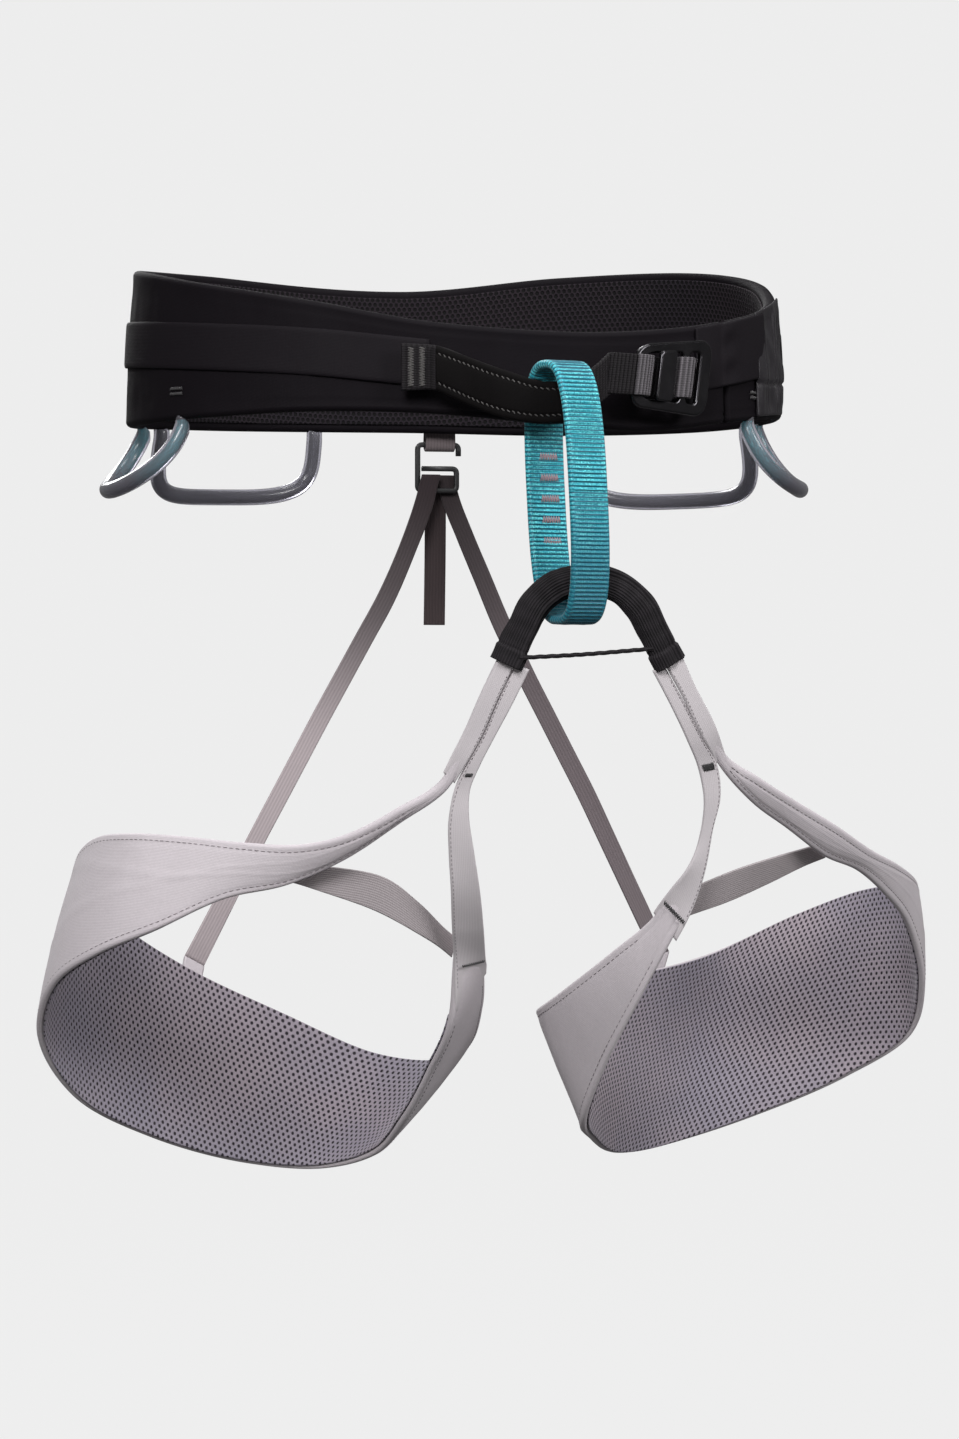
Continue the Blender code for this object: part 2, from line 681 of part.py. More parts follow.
def make_rear():
    """Belt tab, drop-seat hook, the two elastics to the leg loops, and the hanging strap end."""
    fold = [(98.2, -20.0), (98.1, -28.0), (98.0, -32.0), (98.5, -34.0), (100.1, -34.8), (101.7, -34.0)]
    fold += [(102.2, -32.0), (101.8, -27.0), (101.0, -22.0)]
    tab = [((-6.4, y, z), (6.4, y, z)) for y, z in fold]
    strap("rear_tab", tab, 20, 1.1, "taupe_elastic")
    corners = [(8.2, -37.0), (8.2, -32.4), (-9.4, -32.4), (-9.4, -51.6)]
    corners += [(7.4, -51.6), (7.4, -42.4), (-7.6, -42.4)]
    points = []
    for i, (x, z) in enumerate(corners):
        here = Vector((x, HOOK_DEPTH, z))
        if 0 < i < len(corners) - 1:
            before = Vector((corners[i - 1][0], HOOK_DEPTH, corners[i - 1][1]))
            after = Vector((corners[i + 1][0], HOOK_DEPTH, corners[i + 1][1]))
            start = here + (before - here).normalized() * HOOK_CORNER
            end = here + (after - here).normalized() * HOOK_CORNER
            for step in range(4):
                t = step / 3
                points.append(start * (1 - t) ** 2 + here * (2 * t * (1 - t)) + end * t**2)
        else:
            points.append(here)
    tube("drop_seat_hook", points, 1.1, "black_plastic")


HARNESS = bpy.data.collections.new("climbing_harness")


def main():
    for old in list(bpy.data.objects):
        bpy.data.objects.remove(old)
    bpy.context.scene.collection.children.link(HARNESS)
    make_belt()
    make_gear_loop("gear_loop_left_front", -66, -112, 22.0, 10.5, 2.2)
    make_gear_loop("gear_loop_left_rear", -122, -163, 24.0, 4.0, 3.4)
    make_gear_loop("gear_loop_right_front", 53, 96, 25.0, 10.5, 2.2)
    make_gear_loop("gear_loop_right_rear", 101, 146, 25.0, 4.0, 3.4)
    make_tie_in()
    make_belay_loop()
    make_lower_tie_in()
    make_buckle()
    left_straps = (LEFT_OUTER_RISER, LEFT_INNER_STRAP, LEFT_ELASTIC, REAR_ELASTIC_LEFT)
    right_straps = (RIGHT_OUTER_RISER, RIGHT_INNER_STRAP, RIGHT_ELASTIC, REAR_ELASTIC_RIGHT)
    make_leg("left", LEFT_LEG_EDGES, *left_straps, LEFT_ANCHOR_COLUMN, LEFT_LEG_PIVOT)
    make_leg("right", RIGHT_LEG_EDGES, *right_straps, RIGHT_ANCHOR_COLUMN, RIGHT_LEG_PIVOT)
    make_rear()
    strap("rear_tail", REAR_TAIL, 6, 1.4, "taupe_elastic", origin=REAR_TAIL_PIVOT)


main()
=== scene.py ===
"""The looks of a climbing harness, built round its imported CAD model.

Lengths are millimetres in this file, and mm() turns them into Blender's metres. Left and right
mean the sides as seen from the front. Straps and panels follow nearly the same edge points as
the CAD: a few points are moved, by 3.5 mm at most, to look more like the photograph.
"""

import math
from collections import namedtuple

import bpy
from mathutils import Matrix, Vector, noise


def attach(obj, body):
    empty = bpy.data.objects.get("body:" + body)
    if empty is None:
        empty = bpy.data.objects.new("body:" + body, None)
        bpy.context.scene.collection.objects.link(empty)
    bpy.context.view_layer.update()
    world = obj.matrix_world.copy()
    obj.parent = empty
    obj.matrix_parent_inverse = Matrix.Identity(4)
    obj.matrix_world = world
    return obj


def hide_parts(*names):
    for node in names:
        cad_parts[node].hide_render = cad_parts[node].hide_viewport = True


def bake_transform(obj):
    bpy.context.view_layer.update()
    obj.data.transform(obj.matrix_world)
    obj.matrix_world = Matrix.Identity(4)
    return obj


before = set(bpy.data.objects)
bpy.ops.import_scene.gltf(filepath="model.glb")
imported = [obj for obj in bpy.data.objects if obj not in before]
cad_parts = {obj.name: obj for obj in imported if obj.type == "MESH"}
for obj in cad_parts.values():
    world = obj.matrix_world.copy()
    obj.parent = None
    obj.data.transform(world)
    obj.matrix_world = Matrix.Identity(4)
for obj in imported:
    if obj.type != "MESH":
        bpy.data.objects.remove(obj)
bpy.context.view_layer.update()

# One millimetre in Blender's metres.
MM = 0.001

# The camera stands level with the middle of the harness, a little to its left.
CAMERA_PLACE = (-0.4837, -1.8374, -0.1478)
CAMERA_WAY = (0.2504, 0.9681, 0.0)
CAMERA_LENS = 118.83
CAMERA_SENSOR = 36.0

# Lights: name, place, diameter and power; places and diameters in metres.
LIGHTS = (
    ("left_light", (-0.9, -1.8, 1.0), 0.9, 40.0),
    ("right_light", (1.3, -1.7, 0.8), 0.9, 25.0),
    ("top_light", (0.1, 0.0, 1.6), 1.0, 15.0),
    ("rear_light", (-0.3, 1.9, 0.9), 1.0, 22.0),
)
# Brightness of the room from below and from above, and of the studio floor.
ROOM_LIGHT_BELOW = 0.13
ROOM_LIGHT_ABOVE = 0.24
FLOOR_GLOW = 0.845

# Sizes of the belt, in millimetres and degrees; LINER is the thickness of its mesh.
BELT_CENTRE_X = -18.0
BELT_HALF_WIDTH = 132.5
BELT_HALF_DEPTH = 97.0
BELT_START_ANGLE = 44.0
BELT_END_ANGLE = 402.4
BELT_PAD = 5.2
LINER = 0.9
BAND_ANGLES = (76.0, 345.0)
BAND_HALF_HEIGHT = 9.0
WING_START_ANGLE = 34.5
WING_END_ANGLE = 57.0
WING_STEP = 15.0
FOLD_ANGLES = (53.5, 68.5)
LABEL_ANGLES = (85.0, 92.0)

# Sizes of the other pieces: lengths in millimetres and turns in radians. The sleeve's sides, ribs
# and hem, and the belay loop's ribs, are numbers of sides, ribs and steps along its path.
LEG_PAD = 3.0
LEG_LINER = 0.7
LEG_INNER_STEP = 0.9
GEAR_LOOP_RADIUS = 3.3
GEAR_CORE_RADIUS = 1.65
BELAY_WIDTH = 16.5
BELAY_THICKNESS = 3.2
BELAY_HALF_DEPTH = 15.4
BELAY_TURN = math.radians(15.5)
BELAY_TOP = (-8.2, -120.4, -14.8)
BELAY_BOTTOM = (-3.4, -120.8, -110.6)
BELAY_LENGTH = 229.0
BELAY_RIBS = 142
SLEEVE_SIDES = 136
SLEEVE_RIBS = 34
SLEEVE_HEM = 13
BUCKLE_PLACE = (42.0, -97.0, -16.8)
BUCKLE_TURN = math.radians(20.2)
BUCKLE_LEAN = 0.15
BUCKLE_TAPER = 0.0068
TAPE_RIB = 1.3
HOOK_DEPTH = 100.1
HOOK_CORNER = 2.0

# Belt edges: angle from the front towards +X, top height, bottom height, inward lean at the top.
BELT_EDGES = [
    (-180, 31, -28, 1),
    (-135, 33, -30, 2),
    (-90, 28, -33, 3),
    (-55, 18, -32, 2),
    (-35, 11, -31, 0),
    (-15, 3, -32, 0),
    (8, 0, -36, 0),
    (25, 2, -37, 0),
    (45, 8, -32, 1),
    (70, 18, -28, 2),
    (90, 29, -28, 4),
    (120, 37, -29, 3),
    (150, 37, -29, 2),
    (180, 31, -28, 1),
]

# Leg loops: upper and lower edge points, from the front end round the outside to the inner end.
LEFT_LEG_EDGES = [
    ((-50, -105, -169), (-46, -104, -173)),
    ((-67, -102, -182), (-65, -96, -188)),
    ((-84, -96, -191), (-83, -89, -201)),
    ((-101, -87, -195), (-104, -80, -211)),
    ((-120, -75, -194), (-127, -73, -216)),
    ((-138, -59, -192), (-151, -63, -227)),
    ((-156, -38, -191), (-172, -46, -237)),
    ((-166, -14, -193), (-185, -24, -249)),
    ((-169, 14, -203), (-187, 2, -270)),
    ((-153, 45, -225), (-169, 27, -297)),
    ((-118, 66, -248), (-134, 44, -316)),
    ((-74, 72, -269), (-93, 49, -328)),
    ((-36, 61, -286), (-62, 39, -330)),
    ((-15, 37, -288), (-47, 17, -323)),
    ((-10, 5, -277), (-42, -10, -308)),
    ((-13.4, -27, -260), (-38, -36, -288)),
    ((-19.6, -53, -246.6), (-35, -60.6, -264)),
]
RIGHT_LEG_EDGES = [
    ((62, -105, -160.5), (59, -104.5, -166)),
    ((78, -99, -170.5), (75, -94, -180)),
    ((97, -88, -180), (93, -83, -190.5)),
    ((118, -75, -190), (113, -70, -202)),
    ((137, -58, -199), (131, -57, -208)),
    ((155, -37, -205), (149, -41, -218)),
    ((171, -12, -211), (167, -20, -232)),
    ((182, 16, -216), (181, 2, -257)),
    ((186, 44, -217), (182, 24, -280)),
    ((175, 64, -221), (160, 40, -297)),
    ((149, 74, -231), (122, 47, -313)),
    ((118, 71, -243), (87, 41, -322)),
    ((84, 49, -250), (54, 18, -324)),
    ((46, 18, -254), (34, -11, -316)),
    ((9, -20, -263), (24, -38, -304)),
    ((11, -46, -255), (27, -57, -283)),
    ((26, -72, -237), (36, -77, -255)),
    ((38, -84, -224), (45, -87, -234)),
]

LEFT_OUTER_RISER = [
    ((-32, -118, -125.5), (-26, -118, -127.5)),
    ((-37, -115, -137), (-31, -115, -139)),
    ((-43, -110, -153), (-37, -110, -155)),
    ((-47, -107, -162), (-42, -107, -165)),
    ((-49.6, -105.4, -168), (-45.4, -104.4, -171.6)),
]
LEFT_INNER_STRAP = [
    ((-25, -117, -127.8), (-20, -117, -129.6)),
    ((-30, -114, -139), (-25, -114, -141)),
    ((-36, -109, -155), (-32, -109, -156)),
    ((-41, -106, -165), (-36, -106, -165)),
    ((-44.4, -102.6, -174), (-39, -103, -174)),
    ((-46, -100, -185), (-39, -101, -184)),
    ((-45, -96, -198), (-36, -97, -198)),
    ((-43, -91, -211), (-32, -90, -212)),
    ((-40, -81, -226), (-27, -77, -228)),
    ((-36.5, -70, -240), (-23, -64, -239)),
    ((-33.8, -61.4, -260), (-20, -54.4, -245.6)),
]
LEFT_ELASTIC = [
    ((-98, -76, -203), (-104, -72, -209)),
    ((-84, -79, -204), (-88, -77, -214)),
    ((-66, -80, -208), (-69, -79, -221)),
    ((-52, -78, -218), (-52, -77, -230)),
    ((-40.5, -72, -228), (-41.5, -70, -236)),
]
RIGHT_OUTER_RISER = [
    ((40, -118, -124.5), (34, -118, -127.5)),
    ((45, -116, -134), (40, -116, -137)),
    ((55, -111, -150), (50, -111, -154)),
    ((60.8, -105.5, -160.9), (58, -105.3, -164.2)),
]
RIGHT_INNER_STRAP = [
    ((33.4, -117, -128), (29.4, -117, -130)),
    ((39.4, -115, -137.4), (35, -115, -139)),
    ((50.2, -110.2, -154.6), (45, -110, -156)),
    ((58, -104.6, -165.6), (51, -105, -167)),
    ((60, -102, -177), (54, -102, -179)),
    ((58, -99, -190), (53, -98, -194)),
    ((56, -95, -206), (49, -96, -205)),
    ((53, -91, -219), (44, -91, -213)),
    ((47.5, -87, -232), (39.4, -85, -221.6)),
]
RIGHT_ELASTIC = [
    ((56, -83, -212), (53, -81, -224)),
    ((73, -80, -206), (70, -77, -219)),
    ((93, -72, -201), (90, -69, -212)),
    ((112, -62, -197), (109, -60, -205)),
]
REAR_ELASTIC_LEFT = [
    ((-8.2, 97.6, -45.0), (-0.2, 97.6, -45.0)),
    ((-11, 97.0, -55), (-3.2, 97.0, -57)),
    ((-18.6, 95, -75), (-11.6, 95, -78)),
    ((-28.8, 92, -96), (-21.8, 92, -99.6)),
    ((-57, 86, -144), (-50.2, 86, -148)),
    ((-86.4, 79, -195.5), (-79.8, 79, -199.5)),
]
REAR_ELASTIC_RIGHT = [
    ((-1.0, 102.4, -45.0), (7.0, 102.4, -45.0)),
    ((1.4, 102.3, -55), (9.0, 102.3, -53.4)),
    ((6.6, 97, -71.6), (13.6, 97, -68.8)),
    ((20, 86.6, -109.6), (27, 86.6, -106)),
    ((29.4, 80.4, -132.2), (36.4, 80.4, -128.6)),
    ((51.6, 67.5, -181), (58.6, 67.5, -177.4)),
]
REAR_TAIL = [
    ((-4.5, 105, -47), (3.5, 105, -47)),
    ((-4.5, 105.4, -76), (3.5, 105.4, -76)),
    ((-5, 105, -108), (3, 105, -108)),
]
TIE_IN_WEBBING = [
    ((-64, -97.3, -6), (-64, -97.3, -24)),
    ((-51, -101.5, -7), (-51, -101.5, -24)),
    ((-39, -107, -12), (-39, -107, -30)),
    ((-27, -114, -17), (-27, -114, -35)),
    ((-14, -118.5, -21), (-14, -118.5, -37)),
    ((-4, -119, -20.6), (-4, -119, -36)),
    ((6, -117, -14.6), (6, -117, -30)),
    ((13.6, -111, -9), (13.6, -111, -25)),
]
SLEEVE_ARCH = [
    (-27.6, -117.6, -124.4),
    (-23, -119.4, -114),
    (-17.6, -120.6, -104),
    (-9.4, -121, -97.6),
    (2, -121, -95.6),
    (13.4, -121, -97.6),
    (22.6, -120.6, -105),
    (28.6, -119.4, -115),
    (34, -117.8, -124.4),
]
KEEPER_CORD = [(-21.5, -121.2, -124.6), (0, -121.6, -123.4), (24.4, -121.2, -121.4)]
BUCKLE_STRAP_ROUTE = [
    (-28, -4.4), (-22, -3.8), (-17, -3.1), (-12.8, -2.9), (-10.3, -1.1), (-9.9, 1.4), (-7.4, 3.2)
]
BUCKLE_TAIL_ROUTE = [(-6.2, 3.8), (0, 5.0), (8, 5.4), (20, 5.6)]
BUCKLE_ANCHOR_ROUTE = [
    (5.6, 2.6), (3.0, 1.6), (2.6, -1.0), (5.9, -2.5), (9.2, -1.2), (9.8, 1.4), (13, 3.2), (19, 3.4)
]


def mm(point):
    return Vector(point) * MM


# ---------------------------------------------------------------- curves and grids


def travel(points):
    """The distance of each point from the first one, along the line through them all."""
    lengths = [0.0]
    for before, after in zip(points, points[1:]):
        lengths.append(lengths[-1] + (after - before).length)
    return lengths


def step_at(lengths, distance):
    """The step of a line that reaches a distance, and how far into that step it is, from 0 to 1."""
    step = 0
    while step < len(lengths) - 2 and lengths[step + 1] < distance:
        step += 1
    return step, (distance - lengths[step]) / max(lengths[step + 1] - lengths[step], 1e-6)


def ridge(value, centre, reach, height):
    """A soft ridge, or a groove when the height is negative."""
    return height * math.exp(-(((value - centre) / reach) ** 2))


def ripple(value, pitch):
    return math.sin(2 * math.pi * value / pitch)


def smooth(rows, count):
    """Samples a smooth curve through rows of numbers, spaced by the distance between the rows."""
    rows = [Vector(row) for row in rows]
    knots = travel(rows)
    spans = [b - a for a, b in zip(knots, knots[1:])]
    slopes = [(b - a) / span for a, b, span in zip(rows, rows[1:], spans)]
    tangents = [slopes[0]]
    for before, after, span_before, span_after in zip(slopes, slopes[1:], spans, spans[1:]):
        tangents.append((before * span_after + after * span_before) / (span_before + span_after))
    tangents.append(slopes[-1])
    samples = []
    piece = 0
    for step in range(count):
        place = knots[-1] * step / (count - 1)
        while piece < len(spans) - 1 and place > knots[piece + 1]:
            piece += 1
        t = (place - knots[piece]) / spans[piece]
        samples.append(
            rows[piece] * (2 * t**3 - 3 * t**2 + 1)
            + tangents[piece] * ((t**3 - 2 * t**2 + t) * spans[piece])
            + rows[piece + 1] * (3 * t**2 - 2 * t**3)
            + tangents[piece + 1] * ((t**3 - t**2) * spans[piece])
        )
    return samples


def places(width, rows, rim):
    """Distances across a strap from its first edge, close together near both edges."""
    rim = min(rim, width * 0.3)
    near = [rim * (1 - math.cos(math.radians(turn))) for turn in (0, 25, 50, 75)]
    middle = [rim + (width - 2 * rim) * k / rows for k in range(rows + 1)]
    return near + middle + [width - value for value in reversed(near)]


def columns_between(pairs, step, rows, rim, crown=0.0):
    """Columns of points between two smooth edges; crown bulges them along the surface's normal."""
    six = [(*upper, *lower) for upper, lower in pairs]
    middles = [(Vector(a) + Vector(b)) / 2 for a, b in pairs]
    count = max(8, round(travel(middles)[-1] / step))
    grid = []
    for sample in smooth(six, count):
        upper = Vector(sample[:3])
        lower = Vector(sample[3:])
        width = (lower - upper).length
        grid.append([upper.lerp(lower, place / width) for place in places(width, rows, rim)])
    if crown:
        normals = normals_of(grid)
        for column, column_normals in zip(grid, normals):
            width = (column[-1] - column[0]).length
            for row, point in enumerate(column):
                share = (point - column[0]).length / width
                column[row] = point + column_normals[row] * (math.sin(math.pi * share) * crown)
    return grid


def extended(pairs, before=0.0, after=0.0, wider=0.0):
    """Edge pairs continued straight on past either end, and moved apart by wider on each side."""
    pairs = [(Vector(upper), Vector(lower)) for upper, lower in pairs]

    def beyond(end, inside, distance):
        way = (sum(end, Vector()) - sum(inside, Vector())).normalized()
        return tuple(point + way * distance for point in end)

    if before:
        pairs.insert(0, beyond(pairs[0], pairs[1], before))
    if after:
        pairs.append(beyond(pairs[-1], pairs[-2], after))
    result = []
    for upper, lower in pairs:
        apart = (upper - lower).normalized() * wider
        result.append((upper + apart, lower - apart))
    return result


def filled(pairs, longest):
    """Edge pairs with straight steps put in wherever two of them lie further apart than longest."""
    result = [tuple(Vector(point) for point in pairs[0])]
    for pair in pairs[1:]:
        before = result[-1]
        here = tuple(Vector(point) for point in pair)
        steps = math.ceil((here[0] - before[0]).length / longest)
        for step in range(1, steps + 1):
            result.append(tuple(a.lerp(b, step / steps) for a, b in zip(before, here)))
    return result


def normals_of(grid, closed=False):
    """Unit normals of a grid: the way down each column crossed with the way along the grid."""
    count = len(grid)
    normals = []
    for i, column in enumerate(grid):
        after = grid[(i + 1) % count] if closed else grid[min(i + 1, count - 1)]
        before = grid[i - 1] if closed or i else column
        column_normals = []
        for j in range(len(column)):
            along = after[j] - before[j]
            down = column[min(j + 1, len(column) - 1)] - column[max(j - 1, 0)]
            column_normals.append(down.cross(along).normalized())
        normals.append(column_normals)
    return normals


def pushed(grid, distance):
    """The grid moved by a distance along its normals."""
    return [
        [point + normal * distance for point, normal in zip(column, column_normals)]
        for column, column_normals in zip(grid, normals_of(grid))
    ]


def measure(grid, closed=False):
    """Distance along the grid's middle row for each column, and across it for each point."""
    middle = len(grid[0]) // 2
    along = travel([column[middle] for column in grid])
    total = along[-1]
    if closed:
        total += (grid[0][middle] - grid[-1][middle]).length
    return along, total, [travel(column) for column in grid]


def swell(grid, amount, size, seed=0.0, stretch=(1.0, 1.0, 1.0)):
    """A soft noise of the given size in millimetres over a grid, as a function of a slab's spot."""
    result = []
    for column in grid:
        values = []
        for point in column:
            place = Vector((point.x * stretch[0], point.y * stretch[1], point.z * stretch[2])) / size
            values.append(noise.noise(place + Vector((seed, seed * 1.7, -seed))) * amount)
        result.append(values)
    return lambda spot: result[spot.i][spot.j]


# ---------------------------------------------------------------- meshes


def make_object(name, points, faces, uvs, colour):
    """A mesh object from points in millimetres, faces, and a (along, across) pair for each corner."""
    mesh = bpy.data.meshes.new(name)
    mesh.from_pydata([mm(point) for point in points], [], faces)
    layer = mesh.uv_layers.new(name="weave")
    flat = []
    for corners in uvs:
        for along, across in corners:
            flat.append(along * MM)
            flat.append(across * MM)
    layer.data.foreach_set("uv", flat)
    mesh.validate()
    mesh.shade_smooth()
    made = bpy.data.objects.new(name, mesh)
    made.data.materials.append(colour)
    bpy.context.scene.collection.objects.link(made)
    return made


def settle(piece, body, slot, *nodes):
    """The piece moves with a body and stands for CAD nodes; the slot is not used."""
    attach(piece, body)
    if nodes:
        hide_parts(*nodes)
    return piece


# Where a point of a slab lies: its column and row in the grid, its distances along and across, the
# width there, the distance to the nearer edge, and the side (1 along the normals, -1 against them).
Spot = namedtuple("Spot", "i j along across width edge side")


def slab(name, grid, thickness, rim, colour, place=(), closed=False, lift=None, fade=(0.0, 0.0)):
    """A closed strap or panel round a grid of middle points, with round edges.

    place is what settle() needs, lift(spot) gives how far a point moves out along the normal,
    and fade gives the distances over which the first and the last end thin out.
    """
    normals = normals_of(grid, closed)
    along, total, across = measure(grid, closed)
    rows = len(grid[0])
    points = []
    for i, column in enumerate(grid):
        width = across[i][-1]
        reach = min(rim, width * 0.3)
        full = 1.0
        for distance, length in ((along[i], fade[0]), (total - along[i], fade[1])):
            if distance < length:
                full *= 0.12 + 0.88 * math.sin(math.pi / 2 * distance / length)
        for side in (1, -1):
            span = range(rows) if side == 1 else range(rows - 2, 0, -1)
            for j in span:
                depth = across[i][j]
                edge = min(depth, width - depth)
                share = 1.0 if edge >= reach else math.sqrt(max(0.0, 1 - (1 - edge / reach) ** 2))
                share *= full
                rise = thickness / 2 * share
                if lift:
                    rise += lift(Spot(i, j, along[i], depth, width, edge, side)) * share
                points.append(column[j] + normals[i][j] * (side * rise))
    ring = 2 * rows - 2
    faces = []
    uvs = []

    def place_of(k):
        return k if k < rows else ring - k

    spans = len(grid) if closed else len(grid) - 1
    for i in range(spans):
        after = (i + 1) % len(grid)
        far = total if closed and after == 0 else along[after]
        for k in range(ring):
            m = (k + 1) % ring
            faces.append((i * ring + k, i * ring + m, after * ring + m, after * ring + k))
            uvs.append(
                (
                    (along[i], across[i][place_of(k)]),
                    (along[i], across[i][place_of(m)]),
                    (far, across[after][place_of(m)]),
                    (far, across[after][place_of(k)]),
                )
            )
    if not closed:
        for i, backward in ((0, True), (len(grid) - 1, False)):
            base = i * ring
            for j in range(rows - 1):
                kept = []
                for corner in (j, j + 1, (ring - j - 1) % ring, (ring - j) % ring):
                    if corner not in kept:
                        kept.append(corner)
                if backward:
                    kept.reverse()
                faces.append([base + corner for corner in kept])
                uvs.append([(along[i], across[i][place_of(corner)]) for corner in kept])
    made = make_object(name, points, faces, uvs, colour)
    return settle(made, *place) if place else made


def ring_tube(name, path, wide_way, outline_of, colour, place, sides=28):
    """A tube along a path; place is what settle() needs.

    wide_way(way) gives the sideways direction where the path runs in a direction, and
    outline_of(i, turn) gives the sideways and the other offset of each point of ring i.
    """
    points = []
    along = travel(path)
    for i, centre in enumerate(path):
        way = (path[min(i + 1, len(path) - 1)] - path[max(i - 1, 0)]).normalized()
        wide = wide_way(way)
        thick = way.cross(wide).normalized()
        for side in range(sides):
            offset = outline_of(i, 2 * math.pi * side / sides)
            points.append(centre + wide * offset[0] + thick * offset[1])
    faces = []
    uvs = []
    for i in range(len(path) - 1):
        # The right tape is a darker copy of the left one: painted shade.
        for k in range(sides):
            m = (k + 1) % sides
            faces.append((i * sides + k, i * sides + m, (i + 1) * sides + m, (i + 1) * sides + k))
            uvs.append(((along[i], k), (along[i], k + 1), (along[i + 1], k + 1), (along[i + 1], k)))
    start_cap = list(reversed(range(sides)))
    end_cap = [(len(path) - 1) * sides + side for side in range(sides)]
    for cap, distance in ((start_cap, 0.0), (end_cap, along[-1])):
        faces.append(tuple(cap))
        uvs.append([(distance, corner % sides) for corner in cap])
    return settle(make_object(name, points, faces, uvs, colour), *place)


def circle(radius):
    """The outline of a plain round tube."""
    return lambda i, turn: (radius * math.cos(turn), radius * math.sin(turn))


def row_of(grid, offset, lift):
    """A line along a grid at a distance from its first edge, or from its last edge when negative."""
    line = []
    for column, column_normals in zip(grid, normals_of(grid)):
        lengths = travel(column)
        j, share = step_at(lengths, offset if offset >= 0 else lengths[-1] + offset)
        normal = column_normals[j].lerp(column_normals[j + 1], share).normalized()
        line.append((column[j].lerp(column[j + 1], share) + normal * lift, normal))
    return line


class Threads:
    """Collects sewn stitches, each a small bent capsule, into one mesh."""

    SIDES = 6

    def __init__(self):
        self.points = []
        self.faces = []

    def stitch(self, start, end, normal, radius, sink=0.16):
        """One stitch, which bulges along the normal in its middle."""
        way = (end - start).normalized()
        wide = way.cross(normal).normalized()
        base = len(self.points)
        for share, size in ((0.0, 0.35), (0.16, 0.9), (0.5, 1.0), (0.84, 0.9), (1.0, 0.35)):
            rise = math.sin(math.pi * share) * sink
            centre = start.lerp(end, share) + normal * (rise - sink * 0.5)
            for side in range(self.SIDES):
                turn = 2 * math.pi * side / self.SIDES
                reach = radius * size
                sideways = centre + wide * (math.cos(turn) * reach)
                self.points.append(sideways + normal * (math.sin(turn) * reach))
        for ring in range(4):
            for side in range(self.SIDES):
                after = (side + 1) % self.SIDES
                first = base + ring * self.SIDES
                second = first + self.SIDES
                self.faces.append((first + side, first + after, second + after, second + side))
        self.faces.append(tuple(base + side for side in reversed(range(self.SIDES))))
        self.faces.append(tuple(base + 4 * self.SIDES + side for side in range(self.SIDES)))

    def line(self, points, pitch, radius, share=0.7):
        """Stitches end to end along a line of (point, normal) pairs; share is thread, the rest gap."""
        travelled = travel([point for point, _ in points])

        def at(distance):
            j, part = step_at(travelled, distance)
            first, second = points[j], points[j + 1]
            return first[0].lerp(second[0], part), first[1].lerp(second[1], part).normalized()

        for step in range(int(travelled[-1] / pitch)):
            start, normal = at(step * pitch)
            end, _ = at((step + share) * pitch)
            self.stitch(start, end, normal, radius)

    def bartack(self, centre, along, across, normal, length, width, count, radius):
        """A block of zigzag stitches: length along, width across."""
        for step in range(count):
            low = centre + along * (length * (step / count - 0.5)) - across * (width / 2)
            high = centre + along * (length * ((step + 0.5) / count - 0.5)) + across * (width / 2)
            back = centre + along * (length * ((step + 1) / count - 0.5)) - across * (width / 2)
            self.stitch(low, high, normal, radius, sink=0.3)
            self.stitch(high, back, normal, radius, sink=0.3)

    def finish(self, name, colour, body, slot):
        uvs = [[(0.0, 0.0)] * len(face) for face in self.faces]
        made = make_object(name, self.points, self.faces, uvs, colour)
        return settle(made, body, slot)


# ---------------------------------------------------------------- materials


